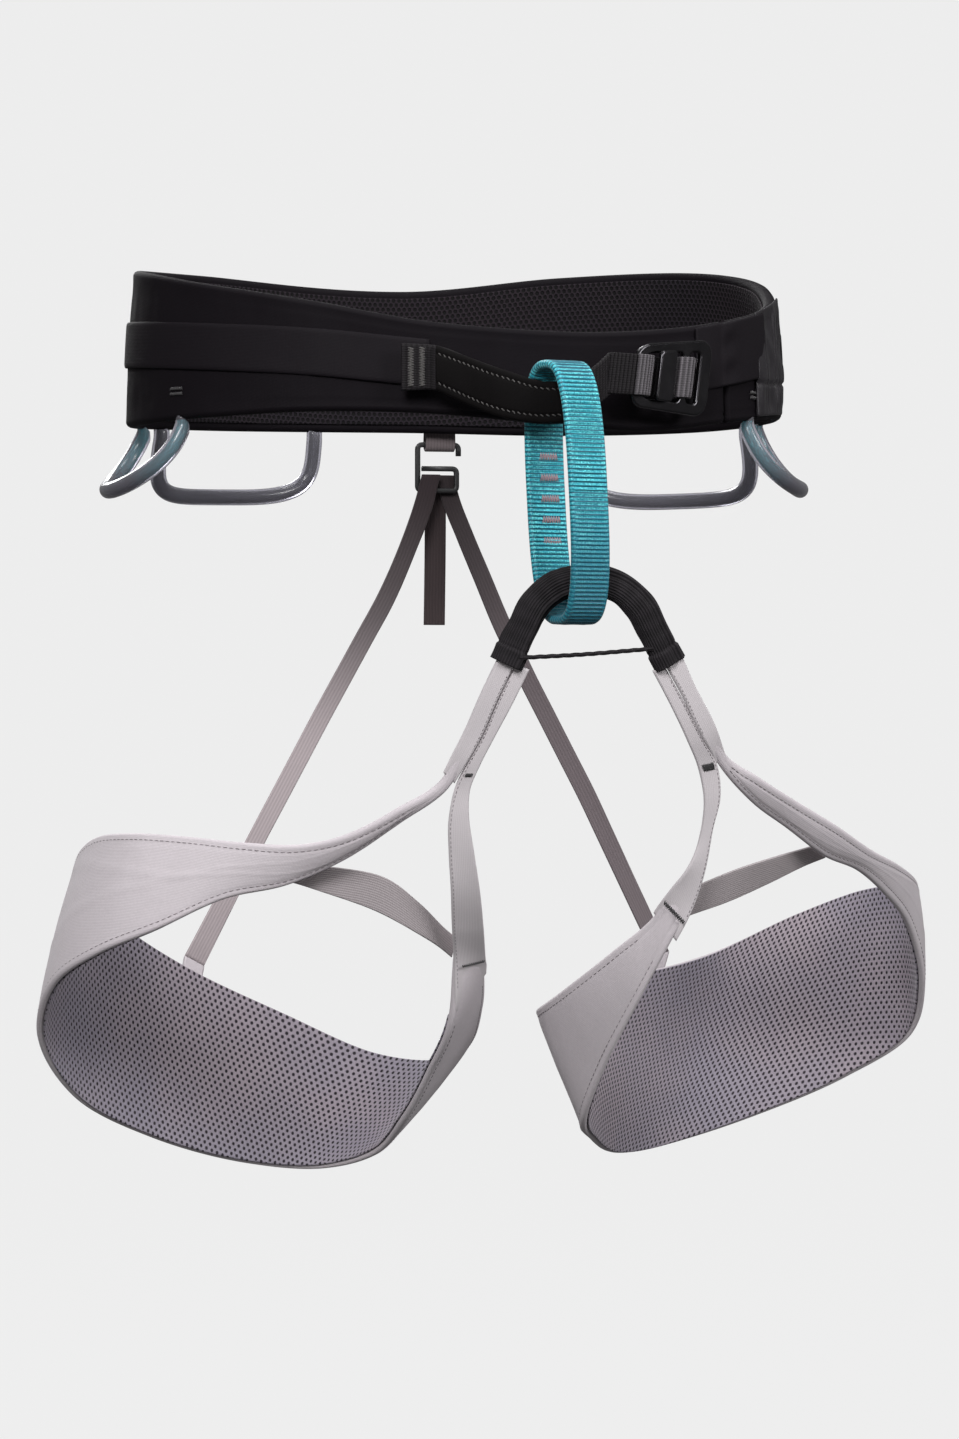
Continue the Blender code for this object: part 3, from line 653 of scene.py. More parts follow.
class Shader:
    """Builds one procedural material, with patterns measured in millimetres along the weave."""

    def __init__(self, name, roughness=0.8, metallic=0.0, sheen=0.0, shine=0.5):
        self.material = bpy.data.materials.new(name)
        self.material.use_nodes = True
        self.nodes = self.material.node_tree.nodes
        self.links = self.material.node_tree.links
        self.out = self.nodes["Principled BSDF"]
        self.out.inputs["Roughness"].default_value = roughness
        self.out.inputs["Metallic"].default_value = metallic
        self.out.inputs["Specular IOR Level"].default_value = shine
        if sheen:
            self.out.inputs["Sheen Weight"].default_value = sheen
            self.out.inputs["Sheen Roughness"].default_value = 0.45

    def set(self, socket, value):
        """Links a socket to another one, or gives it a number or an (r, g, b) colour."""
        if isinstance(value, bpy.types.NodeSocket):
            self.links.new(value, socket)
        elif isinstance(value, tuple):
            socket.default_value = (*value, 1.0)
        else:
            socket.default_value = value

    def math(self, operation, first, second=0.0):
        node = self.nodes.new("ShaderNodeMath")
        node.operation = operation
        self.set(node.inputs[0], first)
        self.set(node.inputs[1], second)
        return node.outputs[0]

    def times(self, first, second):
        return self.math("MULTIPLY", first, second)

    def plus(self, first, second):
        return self.math("ADD", first, second)

    def minus(self, first, second):
        return self.math("SUBTRACT", first, second)

    def weave(self):
        """The distance along and the distance across the piece, in millimetres."""
        found = self.nodes.new("ShaderNodeUVMap")
        found.uv_map = "weave"
        scaled = self.nodes.new("ShaderNodeVectorMath")
        scaled.operation = "SCALE"
        scaled.inputs["Scale"].default_value = 1000.0
        self.links.new(found.outputs[0], scaled.inputs[0])
        parts = self.nodes.new("ShaderNodeSeparateXYZ")
        self.links.new(scaled.outputs[0], parts.inputs[0])
        return parts.outputs[0], parts.outputs[1]

    def wave(self, value, pitch, phase=0.0):
        """A smooth wave from 0 to 1."""
        turned = self.math("MULTIPLY_ADD", value, 2 * math.pi / pitch)
        turned.node.inputs[2].default_value = phase
        raised = self.math("MULTIPLY_ADD", self.math("SINE", turned), 0.5)
        raised.node.inputs[2].default_value = 0.5
        return raised

    def noise(self, size, detail=3.0):
        """Noise from 0 to 1 with features of a size in millimetres, in the object's own space."""
        node = self.nodes.new("ShaderNodeTexNoise")
        node.inputs["Detail"].default_value = detail
        place = self.nodes.new("ShaderNodeTexCoord").outputs["Object"]
        node.inputs["Scale"].default_value = 1000.0 / size
        self.links.new(place, node.inputs["Vector"])
        return node.outputs["Fac"]

    def between(self, value, low, high):
        """0 below low, 1 above high, smooth between."""
        node = self.nodes.new("ShaderNodeMapRange")
        node.interpolation_type = "SMOOTHSTEP"
        self.set(node.inputs["Value"], value)
        self.set(node.inputs["From Min"], low)
        self.set(node.inputs["From Max"], high)
        return node.outputs["Result"]

    def mix(self, share, first, second):
        node = self.nodes.new("ShaderNodeMix")
        node.data_type = "RGBA"
        self.set(node.inputs["Factor"], share)
        self.set(node.inputs["A"], first)
        self.set(node.inputs["B"], second)
        return node.outputs["Result"]

    def colour(self, value):
        self.set(self.out.inputs["Base Color"], value)

    def shades(self, share, colour, low, high):
        """From low to high times the same colour."""
        return self.mix(share, scaled_colour(colour, low), scaled_colour(colour, high))

    def roughness(self, share, low, high):
        node = self.nodes.new("ShaderNodeMapRange")
        self.set(node.inputs["Value"], share)
        node.inputs["To Min"].default_value = low
        node.inputs["To Max"].default_value = high
        self.links.new(node.outputs["Result"], self.out.inputs["Roughness"])

    def bump(self, height, depth):
        """Bump from a height of 0 to 1 that stands for a depth in millimetres."""
        node = self.nodes.new("ShaderNodeBump")
        node.inputs["Strength"].default_value = 1.0
        node.inputs["Distance"].default_value = depth * MM
        self.links.new(height, node.inputs["Height"])
        self.links.new(node.outputs["Normal"], self.out.inputs["Normal"])


def scaled_colour(colour, amount):
    return tuple(value * amount for value in colour)


def woven(name, colour, pitch, depth, roughness=0.85, sheen=0.2, patchy=0.12, shine=0.5):
    """Plain cloth: crossed threads, and faint patches of wear."""
    shader = Shader(name, roughness, sheen=sheen, shine=shine)
    along, across = shader.weave()
    threads = shader.times(shader.wave(along, pitch), shader.wave(across, pitch))
    wear = shader.noise(28.0)
    fine = shader.noise(1.1, 2.0)
    base = shader.shades(wear, colour, 1 - patchy, 1 + patchy)
    dark = shader.mix(fine, scaled_colour(colour, 0.82), base)
    shader.colour(shader.mix(threads, dark, base))
    shader.roughness(wear, roughness - 0.07, roughness + 0.07)
    shader.bump(shader.plus(threads, fine), depth)
    return shader.material


def ribbed(
    name, low, high, pitch, depth, along_ribs=False, fine_pitch=0.9, roughness=0.75, sheen=0.25, shine=0.5
):
    """Webbing or tape: ribs across it, or along it, with fine threads the other way. Its colour is low in
    the grooves and high on the crests: painted shade and painted highlight.
    """
    shader = Shader(name, roughness, sheen=sheen, shine=shine)
    along, across = shader.weave()
    rib = shader.wave(across if along_ribs else along, pitch)
    fine = shader.wave(along if along_ribs else across, fine_pitch)
    grain = shader.noise(0.7, 2.0)
    patch = shader.noise(16.0)
    shape = shader.plus(rib, shader.times(fine, 0.35))
    # The colour follows the rib shape: painted shade in the grooves, painted highlight on the crests.
    shade = shader.mix(shader.times(shape, 0.74), low, high)
    shade = shader.mix(shader.times(grain, 0.35), shade, low)
    shader.colour(shader.mix(shader.times(patch, 0.3), shade, high))
    shader.roughness(grain, roughness - 0.1, roughness + 0.1)
    shader.bump(shader.plus(shape, shader.times(grain, 0.3)), depth)
    return shader.material


def perforated(name, colour, hole, pitch_along, pitch_across, radius, depth, sheen=0.15, shine=0.5):
    """Spacer mesh: staggered oval holes in rows, with soft rims between them."""
    shader = Shader(name, 0.85, sheen=sheen, shine=shine)
    along, across = shader.weave()
    row = shader.math("DIVIDE", across, pitch_across)
    index = shader.math("FLOOR", row)
    odd = shader.math("MODULO", shader.math("ABSOLUTE", index), 2.0)
    column = shader.plus(shader.math("DIVIDE", along, pitch_along), shader.times(odd, 0.5))
    x = shader.times(shader.minus(shader.math("FRACT", column), 0.5), pitch_along)
    y = shader.times(shader.minus(shader.math("FRACT", row), 0.5), pitch_across)
    y = shader.times(y, 0.82)
    far = shader.math("SQRT", shader.plus(shader.times(x, x), shader.times(y, y)))
    solid = shader.between(far, radius * 0.62, radius * 1.25)
    grain = shader.noise(0.8, 2.0)
    patch = shader.between(shader.noise(60.0), 0.3, 0.7)
    cool = (colour[0] * 0.82, colour[1] * 0.88, colour[2] * 0.95)
    base = shader.mix(patch, cool, scaled_colour(colour, 1.08))
    base = shader.mix(shader.times(grain, 0.3), base, hole)
    shader.colour(shader.mix(solid, hole, base))
    shader.bump(shader.plus(solid, shader.times(grain, 0.15)), depth)
    return shader.material


def teal_webbing():
    """Turquoise webbing: broken threads on each rib, painted highlights on the crests, painted shade
    between the ribs, and painted shade at the foot of the loop.
    """
    shader = Shader("teal_webbing_looks", 0.5, sheen=0.2)
    along, across = shader.weave()
    rib = shader.wave(along, BELAY_LENGTH / BELAY_RIBS, -math.pi / 2)
    strands = shader.noise(0.55, 3.0)
    patch = shader.noise(9.0, 3.0)
    # Bright strands on the crests are painted highlights; the dark colour between the ribs is painted
    # shade.
    crest_with_highlight = shader.mix(shader.between(strands, 0.38, 0.66), (0.002, 0.23, 0.33), (0.17, 0.84, 0.87))
    crest_with_highlight = shader.mix(shader.times(shader.between(patch, 0.35, 0.75), 0.6), crest_with_highlight, (0.005, 0.37, 0.48))
    base = shader.mix(shader.between(rib, 0.08, 0.55), (0.001, 0.085, 0.13), crest_with_highlight)
    # Darker near the foot of the loop, which faces down: painted shade.
    from_foot = shader.math("ABSOLUTE", shader.minus(along, BELAY_LENGTH * 0.77))
    dark = shader.mix(0.72, base, (0.0, 0.10, 0.16))
    shader.colour(shader.mix(shader.between(from_foot, 14.0, 52.0), dark, base))
    shader.roughness(strands, 0.35, 0.65)
    fine = shader.wave(across, 0.8)
    shape = shader.plus(shader.times(rib, 0.6), shader.times(strands, 0.6))
    shader.bump(shader.plus(shape, shader.times(fine, 0.25)), 0.18)
    return shader.material


def tape_with_painted_shade(name, top, bottom, length):
    """Elastic tape, dark at its upper end and lighter along it: painted shade under the belt. Its fine
    lengthwise ribs are darker in their grooves: painted shade.
    """
    shader = Shader(name, 0.85, sheen=0.2)
    along, across = shader.weave()
    rib = shader.wave(across, TAPE_RIB)
    patch = shader.noise(7.0, 2.0)
    # Dark at the upper end and lighter along the tape: painted shade under the belt.
    base = shader.mix(shader.between(along, 0.0, length), top, bottom)
    # Darker in the grooves between the ribs: painted shade.
    dark = shader.mix(0.25, base, (0.0, 0.0, 0.0))
    shade = shader.mix(rib, dark, base)
    shader.colour(shader.mix(shader.times(patch, 0.3), shade, dark))
    shader.bump(rib, 0.04)
    return shader.material


def moulded(name, colour, roughness, metallic=0.0):
    """Hard plastic or coated metal, with faint marks from handling."""
    shader = Shader(name, roughness, metallic)
    marks = shader.noise(9.0, 5.0)
    fine = shader.noise(0.5, 2.0)
    shader.colour(shader.shades(marks, colour, 0.85, 1.15))
    shader.roughness(marks, roughness - 0.06, roughness + 0.1)
    shader.bump(fine, 0.02)
    return shader.material


def clear_tube(name, colour, roughness, clear):
    """The translucent sheath of a gear loop."""
    shader = Shader(name, roughness)
    marks = shader.noise(7.0, 4.0)
    shader.colour(shader.shades(marks, colour, 0.9, 1.1))
    shader.out.inputs["Transmission Weight"].default_value = clear
    shader.out.inputs["IOR"].default_value = 1.4
    shader.bump(shader.noise(1.0, 2.0), 0.02)
    return shader.material


def gear_core(name, length, ends):
    """The cord inside a gear loop, dark in the middle and coloured towards both ends."""
    shader = Shader(name, 0.5)
    along, _ = shader.weave()
    away = shader.math("ABSOLUTE", shader.minus(along, length / 2))
    share = shader.between(away, length / 2 - 38.0, length / 2 - 8.0)
    marks = shader.noise(6.0, 4.0)
    middle = shader.mix(marks, (0.025, 0.024, 0.034), (0.05, 0.048, 0.062))
    shader.colour(shader.mix(share, middle, ends))
    shader.bump(shader.noise(0.8, 2.0), 0.03)
    return shader.material


def thread(name, colour):
    """Sewing thread, with small changes of shade."""
    shader = Shader(name, 0.6, sheen=0.3)
    grain = shader.noise(0.6, 2.0)
    shader.colour(shader.shades(grain, colour, 0.7, 1.2))
    shader.bump(grain, 0.05)
    return shader.material


BLACK_FABRIC = woven(
    "black_fabric_looks", (0.0048, 0.0032, 0.0052),
    pitch=0.55, depth=0.05, roughness=0.75, sheen=0.0, patchy=0.15, shine=0.13,
)
BLACK_BAND = woven(
    "black_band_looks", (0.0062, 0.0042, 0.0066),
    pitch=0.55, depth=0.05, roughness=0.7, sheen=0.0, patchy=0.15, shine=0.17,
)
BLACK_FOLD = woven(
    "black_fold_looks", (0.010, 0.0075, 0.011),
    pitch=0.55, depth=0.05, roughness=0.5, sheen=0.03, patchy=0.3, shine=0.45,
)
BLACK_MESH = perforated(
    "black_mesh_looks", (0.019, 0.013, 0.018), (0.0015, 0.001, 0.0015),
    pitch_along=2.3, pitch_across=1.9, radius=0.75, depth=0.5, sheen=0.0, shine=0.25,
)
BLACK_WEBBING = ribbed(
    "black_webbing_looks", (0.003, 0.0022, 0.003), (0.012, 0.0095, 0.0118),
    pitch=2.0, depth=0.3, sheen=0.0, shine=0.25,
)
GREY_WEBBING = ribbed(
    "grey_webbing_looks", (0.006, 0.005, 0.0065), (0.15, 0.135, 0.15), pitch=2.0, depth=0.3, sheen=0.05
)
BLACK_SLEEVE = ribbed(
    "black_sleeve_looks", (0.002, 0.0016, 0.002), (0.024, 0.020, 0.024),
    pitch=SLEEVE_SIDES / SLEEVE_RIBS, depth=0.15, along_ribs=True, fine_pitch=6.0, sheen=0.03, shine=0.25,
)
GUARD_FABRIC = woven(
    "guard_fabric_looks", (0.0025, 0.0018, 0.002),
    pitch=0.55, depth=0.05, roughness=0.8, sheen=0.0, patchy=0.3, shine=0.12,
)
MAUVE_FABRIC = woven(
    "mauve_fabric_looks", (0.61, 0.56, 0.59),
    pitch=0.6, depth=0.05, roughness=0.8, sheen=0.1, patchy=0.07,
)
MAUVE_MESH = perforated(
    "mauve_mesh_looks", (0.37, 0.315, 0.355), (0.02, 0.014, 0.022),
    pitch_along=2.6, pitch_across=2.15, radius=0.62, depth=0.5,
)
PALE_WEBBING = ribbed(
    "pale_webbing_looks", (0.52, 0.48, 0.50), (0.64, 0.60, 0.62),
    pitch=0.7, depth=0.03, along_ribs=True, fine_pitch=0.7, roughness=0.8, sheen=0.15,
)
CROSS_ELASTIC = ribbed(
    "cross_elastic_looks", (0.22, 0.19, 0.20), (0.42, 0.38, 0.39),
    pitch=0.9, depth=0.06, along_ribs=True, fine_pitch=0.8, roughness=0.85, sheen=0.15,
)
TEAL_WEBBING = teal_webbing()
# The tapes are all the same taupe elastic: their darker copies and their dark upper ends are painted shade.
LEFT_TAPE = tape_with_painted_shade("left_tape_looks", (0.02, 0.01, 0.013), (0.43, 0.37, 0.385), 130.0)
RIGHT_TAPE = tape_with_painted_shade("right_tape_looks", (0.018, 0.01, 0.012), (0.16, 0.13, 0.14), 110.0)
SHADED_TAIL_TAPE = tape_with_painted_shade("shaded_tail_tape_looks", (0.03, 0.018, 0.02), (0.075, 0.053, 0.055), 60.0)
TAB_TAPE = tape_with_painted_shade("tab_tape_looks", (0.13, 0.105, 0.11), (0.15, 0.12, 0.125), 40.0)
BLACK_METAL = moulded("black_metal_looks", (0.05, 0.048, 0.052), roughness=0.17, metallic=1.0)
BLACK_PLASTIC = moulded("black_plastic_looks", (0.014, 0.014, 0.015), roughness=0.42)
GEAR_SHEATH = clear_tube("gear_sheath_looks", (0.44, 0.43, 0.49), roughness=0.2, clear=0.8)
LABEL_CLOTH = woven(
    "label_cloth_looks", (0.46, 0.44, 0.52), pitch=0.5, depth=0.03, roughness=0.7, sheen=0.1
)
BLACK_THREAD = thread("black_thread_looks", (0.03, 0.028, 0.03))
DIM_THREAD = thread("dim_thread_looks", (0.065, 0.06, 0.058))
GREY_THREAD = thread("grey_thread_looks", (0.22, 0.19, 0.205))
PINK_THREAD = thread("pink_thread_looks", (0.34, 0.24, 0.27))


# ---------------------------------------------------------------- the belt


def belt_row(angle):
    """Top height, bottom height and top lean of the belt at an angle, joined without kinks."""
    angle = (angle + 180.0) % 360.0 - 180.0
    last = len(BELT_EDGES) - 1
    piece = 0
    while piece < last - 1 and angle > BELT_EDGES[piece + 1][0]:
        piece += 1

    def slope(place, value):
        before = BELT_EDGES[place - 1 if place > 0 else last - 1]
        after = BELT_EDGES[place + 1 if place < last else 1]
        return (after[value] - before[value]) / ((after[0] - before[0]) % 360.0)

    low = BELT_EDGES[piece]
    high = BELT_EDGES[piece + 1]
    span = high[0] - low[0]
    t = (angle - low[0]) / span
    row = []
    for value in (1, 2, 3):
        row.append(
            low[value] * (2 * t**3 - 3 * t**2 + 1)
            + slope(piece, value) * span * (t**3 - 2 * t**2 + t)
            + high[value] * (3 * t**2 - 2 * t**3)
            + slope(piece + 1, value) * span * (t**3 - t**2)
        )
    return row


def belt_point(angle, height, outward=0.0):
    """A point on the belt's outer face, from its angle, its height and a distance outwards."""
    top, bottom, lean = belt_row(angle)
    turn = math.radians(angle)
    normal = Vector((math.sin(turn) / BELT_HALF_WIDTH, -math.cos(turn) / BELT_HALF_DEPTH, 0))
    normal.normalize()
    share = min(max((height - bottom) / (top - bottom), 0.0), 1.0)
    across = BELT_CENTRE_X + BELT_HALF_WIDTH * math.sin(turn)
    place = Vector((across, -BELT_HALF_DEPTH * math.cos(turn), height))
    return place + normal * (outward - lean * share * share)


def belt_columns(start, end, outward, step, rows, rim, top, bottom):
    """Columns on the belt between two angles; top and bottom are functions of the angle."""
    mean_radius = (BELT_HALF_WIDTH + BELT_HALF_DEPTH) / 2
    count = max(6, round(math.radians(end - start) * mean_radius / step))
    grid = []
    for k in range(count + 1):
        angle = start + (end - start) * k / count
        high = top(angle)
        low = bottom(angle)
        heights = [high - place for place in places(high - low, rows, rim)]
        grid.append([belt_point(angle, height, outward) for height in heights])
    return grid


def belt_top(angle):
    return belt_row(angle)[0]


def belt_bottom(angle):
    return belt_row(angle)[1]


def band_middle(angle):
    return (belt_top(angle) + belt_bottom(angle)) / 2 + 1.5


# Bar stitches above the ends of the gear loops: angle round the belt, and height above its edge.
LOOP_STITCHES = (
    (-66, 10.0), (-112, 10.0), (53, 9.0), (96, 10.0), (-122, 8.0), (-163, 8.0), (101, 8.0), (146, 8.0)
)


def make_belt():
    """The padded belt, its mesh liner, the laminated band and folds outside it, and the label."""
    grid = belt_columns(
        BELT_START_ANGLE, BELT_END_ANGLE, -BELT_PAD / 2, step=1.5, rows=26, rim=2.2, top=belt_top,
        bottom=belt_bottom,
    )
    creases = swell(grid, 0.6, 21.0, 3.0, (1.0, 1.0, 0.4))
    fine = swell(grid, 0.2, 5.5, 8.0, (1.0, 1.0, 0.5))

    def puckers(spot):
        seam = ridge(spot.edge, 3.4, 0.6, -0.4)
        calm = min(1.0, spot.edge / 8.0)
        return seam + (creases(spot) + fine(spot)) * calm - 0.3 * calm

    pad = slab(
        "belt_padding", grid, BELT_PAD, 2.2, BLACK_FABRIC,
        ("waist", "black_fabric", "waist_shell", "waist_foam"), lift=puckers,
    )

    inner = belt_columns(
        BELT_START_ANGLE + 1.5, BELT_END_ANGLE - 1.5, -BELT_PAD - LINER / 2, step=1.7, rows=22,
        rim=0.5, top=lambda angle: belt_top(angle) - 3.2,
        bottom=lambda angle: belt_bottom(angle) + 3.2,
    )
    slab("belt_liner", inner, LINER, 0.45, BLACK_MESH, ("waist", "black_mesh", "waist_liner"))

    band = belt_columns(
        *BAND_ANGLES, outward=0.5, step=1.6, rows=12, rim=1.8,
        top=lambda angle: band_middle(angle) + BAND_HALF_HEIGHT,
        bottom=lambda angle: band_middle(angle) - BAND_HALF_HEIGHT,
    )
    band_swell = swell(band, 0.35, 17.0, 5.0, (1.0, 1.0, 0.3))

    slab(
        "belt_band", band, 1.2, 1.8, BLACK_BAND, ("waist", "black_webbing", "waist_webbing"),
        lift=lambda spot: band_swell(spot) * 0.6,
    )

    wing = belt_columns(
        WING_START_ANGLE, WING_END_ANGLE, outward=0.7, step=1.0, rows=16, rim=1.2,
        top=lambda angle: 3.6 + (angle - WING_START_ANGLE) * 0.4,
        bottom=lambda angle: -21.0 + (angle - WING_START_ANGLE) * 0.36,
    )
    wing_swell = swell(wing, 0.6, 9.0, 11.0, (1.0, 1.0, 0.4))

    def wing_shape(spot):
        """Soft waves, and on the outside a step and a sag just past it."""
        rise = wing_swell(spot) * 0.7
        if spot.side == -1:
            return rise
        past = spot.along - WING_STEP
        step = 0.55 / (1 + math.exp(-past / 0.25))
        return step + ridge(past, 4.0, 4.0, 0.5) * math.sin(spot.across * 0.55) + rise

    slab(
        "belt_wing", wing, 1.2, 0.9, BLACK_BAND, ("waist", "black_webbing", "right_wing"),
        lift=wing_shape,
    )

    def fold_top(angle):
        return belt_top(angle) + 1.0 + 0.12 * (angle - FOLD_ANGLES[0])

    def fold_bottom(angle):
        return belt_bottom(angle) + 1.6

    fold = belt_columns(
        *FOLD_ANGLES, outward=1.2, step=0.6, rows=44, rim=1.0, top=fold_top, bottom=fold_bottom
    )
    crumple = swell(fold, 1.5, 10.0, 21.0, (1.0, 1.0, 0.5))
    crumple_fine = swell(fold, 0.7, 4.0, 25.0, (1.0, 1.0, 0.5))

    def fold_shape(spot):
        if spot.side == -1:
            return 0.0
        creases = 0.0
        for place, drift in ((6.0, 0.10), (17.0, 0.05), (25.0, -0.06)):
            creases -= ridge(spot.along - place, drift * spot.across, 0.8, 0.7)
        slot_line = ridge(spot.across - spot.width * 0.68, spot.along * 0.1, 0.7, -0.8)
        rise = crumple(spot) + crumple_fine(spot) + creases + slot_line
        return rise * min(1.0, spot.edge / 5.0) - 0.3

    slab("belt_fold", fold, 1.5, 1.1, BLACK_FOLD, ("waist", "black_fabric"), lift=fold_shape)

    label = belt_columns(
        *LABEL_ANGLES, outward=2.4, step=0.8, rows=16, rim=0.3, top=lambda angle: 17.0,
        bottom=lambda angle: -1.0,
    )
    slab("blank_label", label, 0.5, 0.3, LABEL_CLOTH, ("waist", "label_cloth", "size_label"))

    threads = Threads()
    up = Vector((0, 0, 1))
    for angle, lift in LOOP_STITCHES:
        for row in (0.0, 2.0):
            height = belt_bottom(angle) + lift + row
            centre = belt_point(angle, height, 0.25)
            along = (belt_point(angle + 2, height, 0.25) - centre).normalized()
            normal = along.cross(up).normalized()
            threads.bartack(centre, along, up, normal, length=6.6, width=1.3, count=6, radius=0.26)
    threads.finish("belt_stitches", BLACK_THREAD, "waist", "black_webbing")


# ---------------------------------------------------------------- tie-in points and belay loop


def make_tie_in():
    """The upper tie-in webbing, the padded guard on it, and their stitches."""
    spacing = 0.7
    grid = columns_between(TIE_IN_WEBBING, spacing, 12, 0.9)

    def ribs(spot):
        return 0.16 * ripple(spot.along, 2.1) * min(1.0, spot.edge / 1.2)

    slab(
        "tie_in_strap", grid, 1.9, 0.9, BLACK_WEBBING, ("waist", "black_webbing", "tie_in_webbing"),
        lift=ribs,
    )
    guard = pushed(columns_between(TIE_IN_WEBBING[1:6], 0.5, 26, 1.3, 0.0), 2.3)
    soft = swell(guard, 0.3, 6.0, 2.0, (1.0, 1.0, 0.5))

    def padding(spot):
        if spot.side == -1:
            return 0.0
        groove = ridge(spot.edge, 3.0, 0.55, -0.45)
        crown = 0.8 * math.sin(math.pi * spot.across / spot.width)
        rolled = 0.1 * math.cos(2 * math.pi * spot.along / 1.1) if spot.edge < 2.2 else 0.0
        return groove + crown + soft(spot) + rolled

    pad = slab(
        "tie_in_pad", guard, 1.6, 1.1, GUARD_FABRIC, ("waist", "black_fabric", "tie_in_guard"),
        lift=padding,
    )
    threads = Threads()
    face = pushed(guard, 0.8)
    up = Vector((0, 0, 1))
    for offset in (3.0, -3.0):
        line = row_of(face, offset, 0.28)
        for k in range(3, len(line) - 4, 4):
            start, normal = line[k]
            way = (line[k + 1][0] - start).normalized()
            slanted = way * 1.3 + way.cross(normal) * 0.75
            threads.stitch(start - slanted / 2, start + slanted / 2, normal, radius=0.24, sink=0.3)
    outer = pushed(grid, 1.0)
    for distance in (3.4, 7.6):
        column = round(distance / spacing)
        middle = outer[column][len(outer[column]) // 2]
        upper_row = 5
        along = (outer[column + 1][upper_row] - outer[column][upper_row]).normalized()
        normal = along.cross(up).normalized()
        centre = middle + normal * 0.15
        threads.bartack(centre, up, along, normal, length=14.5, width=2.3, count=15, radius=0.26)
    threads.finish("tie_in_stitches", DIM_THREAD, "waist", "black_webbing")


def belay_grid(steps, rows, rim):
    """The belay loop's ring, which is turned a little, with its length and the ways it faces."""
    squareness = 2.0 / 2.9
    samples = 4000
    top = Vector(BELAY_TOP)
    bottom = Vector(BELAY_BOTTOM)
    middle = (top + bottom) / 2
    half_length = (top - bottom) / 2
    depth_way = Vector((math.sin(BELAY_TURN), -math.cos(BELAY_TURN), 0))
    width_way = Vector((math.cos(BELAY_TURN), math.sin(BELAY_TURN), 0))
    ring = []
    for step in range(samples):
        t = 2 * math.pi * step / samples
        out = math.copysign(abs(math.cos(t)) ** squareness, math.cos(t))
        up = math.copysign(abs(math.sin(t)) ** squareness, math.sin(t))
        ring.append(middle + half_length * up + depth_way * (BELAY_HALF_DEPTH * out))
    lengths = travel(ring + ring[:1])
    grid = []
    for step in range(steps):
        j, share = step_at(lengths, lengths[-1] * step / steps)
        place = ring[j].lerp(ring[(j + 1) % len(ring)], share)
        edge = place - width_way * (BELAY_WIDTH / 2)
        grid.append([edge + width_way * across for across in places(BELAY_WIDTH, rows, rim)])
    return grid, lengths[-1], depth_way, width_way


def make_belay_loop():
    """Ribbed ring of turquoise webbing with woven edges, and the bar stitches that close it."""
    grid, length, depth_way, width_way = belay_grid(BELAY_RIBS * 7, 12, 1.5)
    pitch = length / BELAY_RIBS

    def ribs(spot):
        inner = min(1.0, max(0.0, (spot.edge - 1.3) / 0.8))
        selvedge = ridge(spot.edge, 0.9, 0.5, 0.22)
        uneven = 1.0 + 0.5 * noise.noise(Vector((spot.along * 0.9, spot.across * 0.35, 0.0)))
        return 0.24 * uneven * ripple(spot.along, pitch) * inner + selvedge - 0.18

    slab(
        "belay_ring", grid, BELAY_THICKNESS, 1.4, TEAL_WEBBING,
        ("belay", "teal_webbing", "belay_loop"), True, ribs,
    )
    threads = Threads()
    inner_face = -depth_way * (BELAY_HALF_DEPTH - BELAY_THICKNESS / 2 - 0.1)
    up = Vector((0, 0, 1))
    first_height = -48.5
    spacing = 7.95
    for step in range(5):
        # The ring leans: its centre line moves by 4.8 across over its length of 95.8.
        height = first_height - spacing * step
        share = (height + 62.7) / 95.8
        middle = Vector((-5.8 - 4.8 * share, -120.6, height)) + inner_face + width_way * 0.9
        outside = middle - depth_way * (BELAY_THICKNESS + 0.2)
        for centre, normal in ((middle, depth_way), (outside, -depth_way)):
            threads.bartack(centre, width_way, up, normal, length=7.6, width=3.0, count=7, radius=0.23)
    threads.finish("belay_bar_stitches", PINK_THREAD, "belay", "teal_webbing")


def make_lower_tie_in():
    """The arched sleeve with its seam and hems, and the braided cord across its ends."""
    front = Vector((0, -1, 0))
    path = smooth(extended_path(SLEEVE_ARCH, 2.8), 220)

    def in_plane(way):
        return way.cross(front).normalized()

    last = len(path) - 1

    def sleeve(i, turn):
        end = min(i, last - i)
        hem = ridge(max(end, SLEEVE_HEM), SLEEVE_HEM, 1.5, 0.5)
        groove = ridge(end, SLEEVE_HEM + 2.5, 1.2, -0.25)
        ribs = 0.13 * math.sin(SLEEVE_RIBS * turn) * (0.4 if end < SLEEVE_HEM + 2 else 1.0)
        from_seam = turn - (5.35 if i < last / 2 else 3.9)
        fold = ridge(from_seam, 0.0, 0.13, 0.75)
        beside = ridge(from_seam, 0.32, 0.12, -0.45)
        lump = noise.noise(Vector((i * 0.05, math.cos(turn) * 1.4, math.sin(turn) * 1.4))) * 0.5
        extra = hem + groove + ribs + fold + beside + lump
        return (6.0 + extra) * math.cos(turn), (3.4 + extra) * math.sin(turn)

    ring_tube(
        "tie_in_sleeve", path, in_plane, sleeve, BLACK_SLEEVE,
        ("waist", "black_fabric", "lower_tie_in_sleeve", "lower_tie_in_webbing"), SLEEVE_SIDES,
    )

    cord_path = smooth(extended_path(KEEPER_CORD, 3.0), 90)

    def braid(i, turn):
        reach = 0.8 + 0.1 * math.sin(3 * turn + i * 0.8)
        return reach * math.cos(turn), reach * math.sin(turn)

    ring_tube(
        "keeper_braid", cord_path, in_plane, braid, BLACK_SLEEVE,
        ("waist", "black_fabric", "keeper_cord"), 18,
    )


